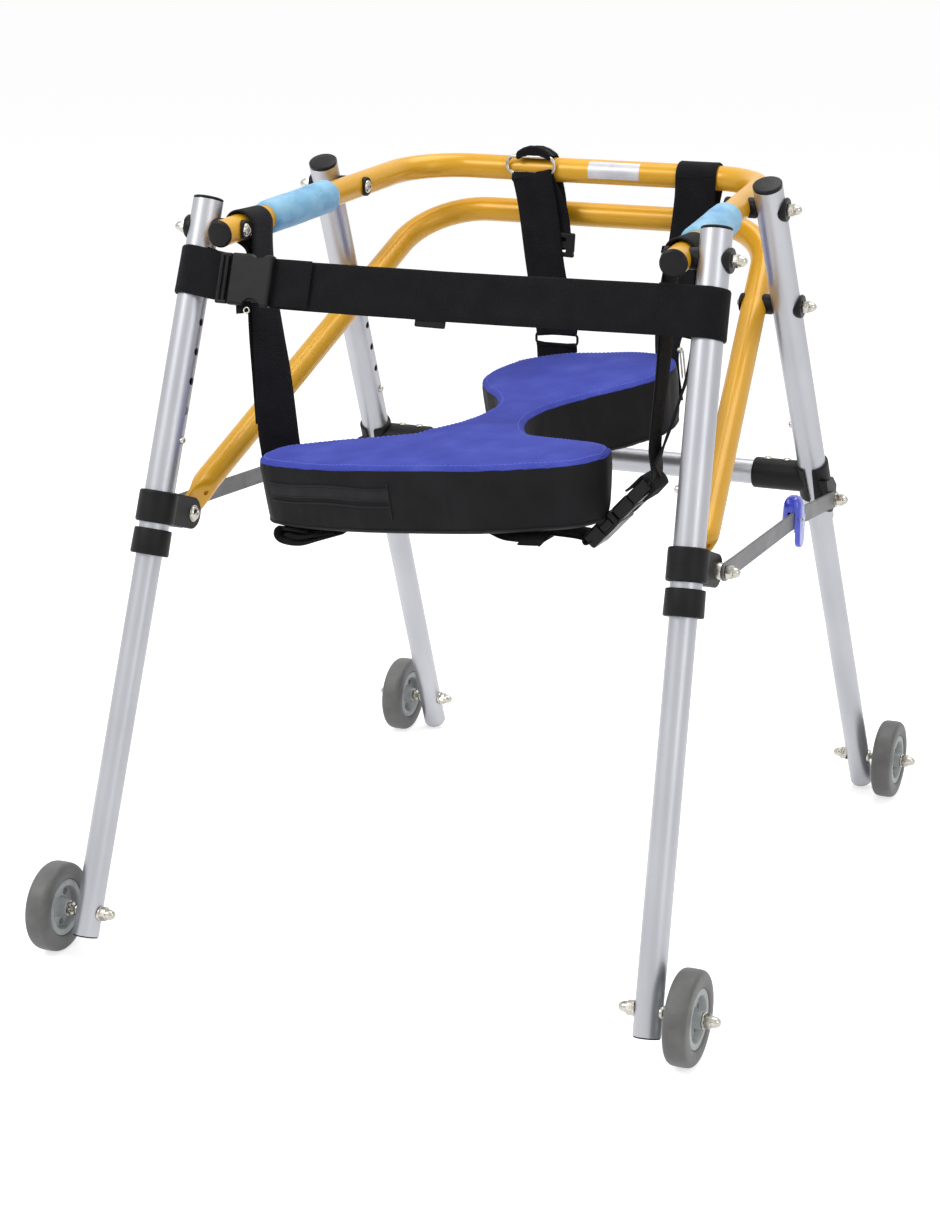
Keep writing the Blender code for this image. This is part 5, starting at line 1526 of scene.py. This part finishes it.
def build_seat():
    edge = Outline()
    seat = build_cushion(edge)
    cord = on_cover(seat, [side_point(edge, edge.total * k / 300, 0.0021, 0.0002) for k in range(300)],
                    -0.0002)
    piece("seat_seam", swept(cord, 0.0008, 10, True), CLOTH, "rail", SEAT_PLACE)
    stitches = []
    pitch = 0.0042
    count = int(edge.total / pitch)
    for k in range(count):
        spot, normal = edge.at(edge.total * k / count)
        along = Vector((-normal.y, normal.x, 0))
        middle = spot - normal * 0.0062
        height = on_top(seat, middle.x, middle.y)
        ends = []
        for t, lift in ((-0.5, -0.0002), (-0.35, 0.0001), (0, 0.0002), (0.35, 0.0001), (0.5, -0.0002)):
            point = middle + along * 0.0030 * t
            ends.append(Vector((point.x, point.y, height + lift - 0.0001)))
        stitches.append(swept(ends, 0.00042, 6))
    piece("seat_stitches", joined(*stitches), CLOTH_THREAD, "rail", SEAT_PLACE, sharp=0)
    front = edge.nearest(-0.137, 0.017 - SEAT_MID)[0]
    stop = edge.nearest(-0.0125, 0.0 - SEAT_MID)[0]
    if stop < front:
        front, stop = stop, front
    strip = []
    count = 26
    for k in range(count + 1):
        s = front + (stop - front) * k / count
        strip.append(side_point(edge, s, 0.0230 + 0.0008 * math.sin(k * 0.35), 0.002))
    strip = [(point, (0, 0, 1)) for point in on_cover(seat, strip, 0.0002)]
    strap("seat_zip_tape", strip, 0.0085, "rail", SEAT_PLACE, per=2, thick=0.0009, look=THREAD)
    for name, depth in (("upper", 0.0182), ("lower", 0.0278), ("fold", 0.0330)):
        cord = []
        for k in range(61):
            s = front + (stop - front) * k / 60
            cord.append(side_point(edge, s, depth + 0.0008 * math.sin(k * 0.15), 0.002))
        piece("seat_zip_" + name, swept(on_cover(seat, cord, 0.0003), 0.0009, 8), NYLON, "rail", SEAT_PLACE)
    end_s = stop if edge.at(stop)[0].x > edge.at(front)[0].x else front
    cord = [side_point(edge, end_s, 0.014 + 0.030 * k / 8, 0.002) for k in range(9)]
    piece("seat_zip_end", swept(on_cover(seat, cord, 0.0002), 0.0009, 8), NYLON, "rail", SEAT_PLACE)
    base_seam = [side_point(edge, edge.total * k / 260, SEAT_THICK - 0.002, 0.002) for k in range(260)]
    piece("seat_base_seam", swept(on_cover(seat, base_seam, 0.0002), 0.0011, 8, True), NYLON, "rail",
          SEAT_PLACE)
    profile = [(-0.0028 * math.cos(k * math.pi / 12), 0.0028 * math.sin(k * math.pi / 12)) for k in range(13)]
    ball = moved(turned(profile, 24, ease=0), Matrix.Translation((0.0945, 0.3530 - SEAT_MID, 0.0190)))
    arms = [swept([Vector((0.0945 + dx, 0.3530 + dy - SEAT_MID, z)) for z in (0.018, 0.012, 0.004, -0.006)],
                  0.0008, 8)
            for dx, dy in ((0.0012, -0.003), (0.0016, 0.0025))]
    piece("seat_puller", joined(ball, *arms), STEEL, "rail", SEAT_PLACE)
    build_seat_slings()


def build_seat_slings():
    """Webbing under the cushion, with slack bights that show below its lower edge. Each point is
    across, along the seat from its front, and down from its underside."""
    under = -SEAT_THICK - 0.0014
    slings = {
        "sling_front": [(-0.128, 0.052, 0), (-0.06, 0.050, 0.0006), (0.02, 0.048, 0), (0.105, 0.052, 0.0008)],
        "bight_left": [(-0.105, 0.036, 0.001), (-0.1285, 0.036, -0.0009), (-0.1335, 0.034, 0.0036),
                       (-0.129, 0.032, 0.0088), (-0.112, 0.032, 0.0108), (-0.093, 0.034, 0.0066),
                       (-0.073, 0.036, 0.0018)],
        "bight_fill": [(-0.126, 0.034, 0.0028), (-0.114, 0.034, 0.0058), (-0.097, 0.035, 0.0034),
                       (-0.081, 0.036, 0.0014)],
        "bight_right": [(0.066, 0.036, 0.0006), (0.078, 0.034, 0.0042), (0.100, 0.032, 0.0056),
                        (0.108, 0.032, 0.0076), (0.090, 0.032, 0.0074)],
    }
    for name, points in slings.items():
        path = held((0, 1, 0), *((x, v - SEAT_MID, under - drop) for x, v, drop in points))
        strap("seat_" + name, path, 0.030 if name == "bight_right" else WEB_W, "rail", SEAT_PLACE)


# straps

LOOP_Y = {"left": -0.1370, "right": -0.1395}
BUCKLE_PLACE = Matrix.Translation((0.1636, -0.185, 0.3912)) @ Matrix.Rotation(math.radians(42.5), 4, "Y")


def on_seat(x, v, z, facing, out=0.0):
    """A point of webbing against the seat's side, which faces the given way, and its width direction."""
    away = Vector((*facing, 0)).normalized()
    spot = Vector((x, v - SEAT_MID, z)) + away * (WEB_T / 2 + GAP + out)
    across = Vector((away.y, -away.x, 0))
    return SEAT_PLACE @ spot, SEAT_TURN.to_3x3() @ (across if across.x + across.y > 0 else -across)


def rail_wrap(x, y, z, start, end):
    """Points over a rail arm in the XZ plane, between two angles measured from +X."""
    r, steps = RAIL_R + WEB_T / 2 + 0.0008, 12
    made = []
    for k in range(steps + 1):
        angle = start + (end - start) * k / steps
        made.append(((x + r * math.cos(angle), y, z + r * math.sin(angle)), (0, 1, 0)))
    return made


def build_front_straps():
    """The left band hugs the rail nearly all round; the right one lies over its upper half."""
    face = (-0.87, 0.49)
    joint = on_seat(-0.1542, 0.0725, -0.001, face, 0.0010)
    high = on_seat(-0.1542, 0.0725, 0.016, face, 0.0010)
    foot = on_seat(-0.1520, 0.0715, -0.048, face, 0.0012)
    below = on_seat(-0.1507, 0.0705, -SEAT_THICK, face, -0.0004)
    under = (SEAT_PLACE @ Vector((-0.136, 0.060 - SEAT_MID, -SEAT_THICK - 0.0018)),
             SEAT_TURN.to_3x3() @ Vector((0.45, 0.89, 0)))
    y = LOOP_Y["left"]
    x, z = rail_x(y), rail_z(y)
    runs = [under, below, foot, joint, high]
    runs += [((-0.1650, -0.1515, 0.470), (0.42, 0.91, 0)), ((-0.1720, -0.1455, 0.503), (0.26, 0.96, 0))]
    runs += [((-0.1785, -0.1400, 0.540), (0.10, 1, 0)), ((-x + 0.0128, y, 0.572), (0, 1, 0))]
    runs += rail_wrap(-x, y, z, 0, math.radians(252))
    runs += [((-x + 0.0060, y, z - 0.0185), (0, 1, 0)), ((-0.1840, y - 0.0010, 0.562), (0.04, 1, 0))]
    runs += [((-0.1812, -0.1410, 0.535), (0.14, 1, 0)), ((-0.1752, -0.1457, 0.501), (0.28, 0.96, 0))]
    runs += [((-0.1678, -0.1513, 0.468), (0.42, 0.91, 0))]
    runs += [(high[0] + Vector((-0.0022, 0.0006, 0.004)), high[1])]
    strap("strap_front_left", runs, replaces=("strap_front_left",))
    y = LOOP_Y["right"]
    x, z = rail_x(y), rail_z(y)
    low = BUCKLE_PLACE @ Vector((0, 0, 0.0368))
    runs = [(low + Vector((-0.0026, 0, -0.0040)), (-0.12, 1, 0)),
            (low + Vector((0.0008, 0, 0.006)), (-0.12, 1, 0))]
    runs += [((0.1848, -0.1760, 0.448), (-0.10, 1, 0)), ((0.1838, -0.1600, 0.500), (-0.06, 1, 0))]
    runs += [((x - 0.0130, y - 0.0010, 0.562), (0, 1, 0))]
    runs += rail_wrap(x, y, z, math.pi, 0)
    runs += [((x + 0.0130, y, 0.568), (0, 1, 0)), ((0.2050, -0.1480, 0.515), (-0.16, 1, 0))]
    runs += [((0.1972, -0.1640, 0.470), (-0.28, 0.96, 0)), ((0.1900, -0.1770, 0.436), (-0.24, 0.97, 0))]
    runs += [(low + Vector((0.0026, 0, 0.0036)), (-0.15, 1, 0))]
    strap("strap_front_right", runs, replaces=("strap_front_right",))
    build_seat_buckle()


def build_seat_buckle():
    """The right strap's side release buckle, hanging at a slant, with its webbing to the seat."""
    place, fit = BUCKLE_PLACE, Matrix.Diagonal((1.12, 1, 0.90, 1))
    thick, wide = 0.0118, 0.0380
    signs = (-1, 1)
    groove, hollowed = (0.0016, wide + 0.01, 0.0010), (0.0020, wide * 0.5, 0.012)
    line = (0.0012, wide * 0.56, 0.0008)
    cuts = [block((0.02, wide - 0.008, 0.0032), (0, 0, 0.0335), 0.0010, 2)]
    cuts += [block(groove, (-sign * thick * 0.41, 0, 0.0255)) for sign in signs]
    ladder = carved(block((thick * 0.82, wide, 0.0225), (0, 0, 0.0297), 0.0018, 3), cuts)
    cuts = [block(hollowed, (sign * thick * 0.46, 0, 0.0080), 0.0008, 2) for sign in signs]
    male = carved(block((thick * 0.92, wide * 0.96, 0.0200), (0, 0, 0.0080), 0.0022, 3), cuts)
    female = block((thick, wide, 0.0380), (0, 0, -0.0218), 0.0026, 4)
    for v in female.verts:
        if v.co.z < -0.030:
            v.co.y *= 1 - 0.14 * (-0.030 - v.co.z) / 0.011
    cuts = []
    for sign in signs:
        cuts.append(block((0.02, 0.0070, 0.0150), (0, sign * wide / 2, -0.0150), 0.0022, 3))
        cuts += [block(line, (sign * thick / 2, 0, z)) for z in (-0.0080, -0.0280)]
    female = carved(female, cuts)
    prong = (thick * 0.5, 0.0046, 0.0125)
    prongs = [block(prong, (0, sign * (wide / 2 - 0.0030), -0.0150), 0.0015) for sign in signs]
    whole = joined(ladder, male, female, joined(*prongs))
    piece("seat_buckle", moved(whole, fit), GLOSS_BLACK, "rail", place, ("seat_buckle",), sharp=34,
          weighted=True)
    turns = [math.pi * k / 8 for k in range(9)]
    wrap = [(0.0064 * math.cos(angle), 0, 0.0390 + 0.0034 * math.sin(angle)) for angle in turns]
    wrap = [(0.0068, 0, 0.0260), *wrap, (-0.0066, 0, 0.0240), (-0.0072, 0, 0.0205)]
    wrap = held((0, 1, 0), *(fit @ Vector(point) for point in wrap))
    strap("seat_buckle_lap", wrap, WEB_W * 0.96, "rail", place, per=4)
    below = ((0.0960, 0.058, 0.0066), (0.0760, 0.058, 0.0030), (0.0500, 0.056, 0.0024))
    points = ((0.0012, 0, -0.0320), (-0.0010, 0, -0.0385), (-0.0080, 0, -0.0388))
    tab = held((0, 1, 0), *(place @ Vector(point) for point in points))
    tab += held((0.05, 1, 0), *(SEAT_PLACE @ Vector((x, v - SEAT_MID, -SEAT_THICK - drop)) for x, v,
                                drop in below))
    strap("seat_tab_right", tab, WEB_W * 0.94)


def build_rear_straps():
    y, z = RAIL_REAR_Y, rail_z(RAIL_REAR_Y)
    r = RAIL_R + WEB_T / 2 + 0.0003
    level = (1, 0, 0)

    def loop(x, start, end, steps, radius):
        angles = [start + (end - start) * k / steps for k in range(steps + 1)]
        return held(level, *((x, y + radius * math.cos(a), z + radius * math.sin(a)) for a in angles))

    x, facing = 0.1045, (0.52, 0.854)
    path = [on_seat(0.0650, 0.3840, -0.032, facing, 0.0012), on_seat(0.0655, 0.3850, 0.014, facing, 0.0008)]
    path += [((0.0925, 0.1435, 0.510), (0.96, -0.2, 0))]
    path += held(level, (0.0990, y - 0.0095, 0.560), (x - 0.0010, y - 0.0112, z - 0.022))
    path += loop(x, math.pi * 1.06, -math.pi * 0.16, 14, r + 0.0006)
    path += held(level, (x - 0.0006, y + 0.0040, z - 0.022), (0.0990, y - 0.0064, 0.565))
    path += held(level, (0.0955, y - 0.0120, 0.535))
    strap("strap_rear_right", path, replaces=("strap_rear_right",))
    facing = (-0.28, 0.96)
    window_x, window_low, window_high = -0.0270, 0.4585, 0.4680
    toe = on_seat(-0.0495, 0.3935, -0.034, facing, 0.0010)
    foot = on_seat(-0.0500, 0.3945, -0.002, facing, 0.0008)
    step = foot[0].y
    turns = ((0.0004, -0.0036), (-0.0012, -0.0004), (0.0018, -0.0016), (0.0030, -0.008))
    lower = held((0.97, 0.2, 0), *((window_x, step + back, window_low + up) for back, up in turns))
    strap("strap_rear_tab", [toe, foot, *lower], WEB_W * 0.98)
    ring_x, ring_z = -0.0537, z + 0.0045
    front, low = y - RAIL_R - 0.0022, ring_z - 0.0078
    turns = ((window_x, 0.0026, 0.010), (window_x, 0.0020, 0.0016), (window_x, -0.0008, 0.0004),
             (-0.0284, -0.0010, 0.010))
    path = held((1, 0.1, 0), *((at, step + back, window_high + up) for at, back, up in turns))
    path += held(level, (-0.0380, 0.1520, 0.530), (-0.0460, 0.1515, 0.582))
    path += held(level, (-0.0505, front - 0.0032, low - 0.0060), (-0.0520, front - 0.0018, low - 0.0004))
    path += held(level, (-0.0516, front + 0.0010, low), (-0.0490, front + 0.0020, low - 0.0080))
    path += held(level, (-0.0370, 0.1565, 0.578), (-0.0325, 0.1560, 0.545))
    strap("strap_rear_left", path, replaces=("strap_rear_left",))
    x = -0.0508
    path = held(level, (-0.0375, 0.1600, 0.556), (-0.0400, y + 0.0020, 0.582),
                (x + 0.002, y + 0.0122, z - 0.0120))
    path += loop(x, 0, math.pi * 0.62, 8, r + 0.0008)
    turns = ((-0.0018, 0.0098), (-0.0026, 0.0066), (-0.0006, 0.0048), (0.0016, 0.0070))
    path += held(level, *((x, front + back, ring_z + up) for back, up in turns))
    arch = webbing(path, WEB_W * 0.87, WEB_T * 1.3, 6)
    for v in arch.verts:
        rise = min(max((v.co.z - z) / RAIL_R, 0), 1)
        v.co.z += 0.0072 * rise * max(1 - ((v.co.x - x) / 0.017) ** 2, 0)
    piece("strap_rear_arch", arch, WEBBING, "rail", None, sharp=60)

    def wire_ring(name, middle, wide, tall, corner, wire, look):
        ring = []
        for cx, cz, turn in ((1, 1, 0), (-1, 1, 1), (-1, -1, 2), (1, -1, 3)):
            for k in range(9):
                angle = math.pi / 2 * (turn + k / 8)
                out = cx * (wide / 2 - corner) + corner * math.cos(angle)
                rise = cz * (tall / 2 - corner) + corner * math.sin(angle)
                ring.append(Vector(middle) + Vector((out, 0, rise)))
        piece(name, swept(ring, wire, 16, True), look, "rail")

    wire_ring("strap_ring", (ring_x, front, ring_z), 0.0462, 0.0152, 0.0072, 0.0016, STEEL)
    window = (window_x, step + 0.0006, (window_low + window_high) / 2)
    wire_ring("strap_link", window, 0.0408, window_high - window_low, 0.0030, 0.0012, GLOSS_BLACK)
    cuts = [block((0.0340, 0.02, 0.0042), (0, 0, up), 0.0012, 2) for up in (0.0050, -0.0050)]
    cuts.append(block((0.0050, 0.02, 0.0022), (0.0262, 0, -0.0070), 0.0006, 2))
    slide = carved(block((0.0490, 0.0046, 0.0225), (0, 0, 0), 0.0018, 4), cuts)
    place = Matrix.Translation((-0.0352, 0.1548, 0.5520)) @ Matrix.Rotation(math.radians(3), 4, "Y")
    piece("strap_slide", slide, BLACK, "rail", place, ("strap_slide",), sharp=34, weighted=True)


# camera, light and floor

def build_camera():
    ahead = Vector((
        math.sin(CAMERA_YAW) * math.cos(CAMERA_PITCH),
        math.cos(CAMERA_YAW) * math.cos(CAMERA_PITCH),
        math.sin(CAMERA_PITCH),
    ))
    right = Vector((math.cos(CAMERA_YAW), -math.sin(CAMERA_YAW), 0))
    up = right.cross(ahead)
    c, s = math.cos(CAMERA_ROLL), math.sin(CAMERA_ROLL)
    right, up = right * c + up * s, up * c - right * s
    camera = bpy.data.cameras.new("camera")
    camera.sensor_fit = "VERTICAL"
    camera.sensor_width = camera.sensor_height = SENSOR
    camera.lens = FOCAL_PX * SENSOR / IMAGE_H
    camera.shift_x = (IMAGE_W / 2 - CENTRE_PX[0]) / IMAGE_H
    camera.shift_y = (CENTRE_PX[1] - IMAGE_H / 2) / IMAGE_H
    camera.clip_start, camera.clip_end = 0.05, 200
    holder = linked("camera", camera)
    turn = Matrix((right, up, -ahead)).transposed().to_4x4()
    holder.matrix_world = Matrix.Translation(CAMERA_AT) @ turn
    bpy.context.scene.camera = holder


def softbox(name, at, target, width, height, power):
    light = bpy.data.lights.new(name, "AREA")
    light.shape = "RECTANGLE"
    light.size, light.size_y = width, height
    light.energy = power
    holder = linked(name, light)
    holder.location = at
    holder.rotation_mode = "QUATERNION"
    holder.rotation_quaternion = (Vector(target) - Vector(at)).to_track_quat("-Z", "Y")


def seen_or_lit(tree, lit, seen):
    """A strength that is one value for what is seen, also in metal, and another for the light it gives."""
    rays = tree.nodes.new("ShaderNodeLightPath")
    shown = rays.outputs["Is Camera Ray"]
    for name in ("Is Glossy Ray", "Is Transmission Ray"):
        either = tree.nodes.new("ShaderNodeMath")
        either.operation = "MAXIMUM"
        tree.links.new(shown, either.inputs[0])
        tree.links.new(rays.outputs[name], either.inputs[1])
        shown = either.outputs[0]
    level = tree.nodes.new("ShaderNodeMapRange")
    tree.links.new(shown, level.inputs["Value"])
    level.inputs["To Min"].default_value = lit
    level.inputs["To Max"].default_value = seen
    return level.outputs[0]


def build_stage():
    floor_mesh = bpy.data.meshes.new("floor")
    size = 60.0
    corners = [(-size, -size, 0), (size, -size, 0), (size, size, 0), (-size, size, 0)]
    floor_mesh.from_pydata(corners, [], [(0, 1, 2, 3)])
    floor = linked("floor", floor_mesh)
    pale = bpy.data.materials.new("floor")
    pale.use_nodes = True
    tree = pale.node_tree
    shader = tree.nodes["Principled BSDF"]
    shader.inputs["Base Color"].default_value = (0.80, 0.80, 0.80, 1)
    shader.inputs["Roughness"].default_value = 0.9
    shader.inputs["Specular IOR Level"].default_value = 0.0
    glow = tree.nodes.new("ShaderNodeEmission")
    tree.links.new(seen_or_lit(tree, 0.10, 0.66), glow.inputs["Strength"])
    both = tree.nodes.new("ShaderNodeAddShader")
    tree.links.new(shader.outputs[0], both.inputs[0])
    tree.links.new(glow.outputs[0], both.inputs[1])
    tree.links.new(both.outputs[0], tree.nodes["Material Output"].inputs["Surface"])
    floor_mesh.materials.append(pale)
    world = bpy.data.worlds.new("studio")
    world.use_nodes = True
    bpy.context.scene.world = world
    tree = world.node_tree
    back = tree.nodes["Background"]
    back.inputs["Color"].default_value = (1, 1, 1, 1)
    tree.links.new(seen_or_lit(tree, 0.40, 1.0), back.inputs["Strength"])
    softbox("key", (-1.6, -2.2, 2.6), (0, 0, 0.4), 1.4, 1.4, 46)
    softbox("fill", (2.4, -1.6, 1.6), (0, 0, 0.4), 1.2, 1.8, 14)
    softbox("top", (0.2, 0.6, 2.8), (0, 0, 0.3), 1.8, 1.8, 34)


build_camera()
build_stage()
build_rail()
build_brace()
build_cross()
for leg in LEGS.values():
    build_upper(leg)
    build_lower(leg)
    build_wheel(leg)
    if leg.end == "front":
        build_front(leg)
    else:
        build_rear(leg)
for word, side in SIDES:
    build_stays(word, side)
build_belt()
build_seat()
build_front_straps()
build_rear_straps()

bpy.context.scene.view_settings.view_transform = "Standard"
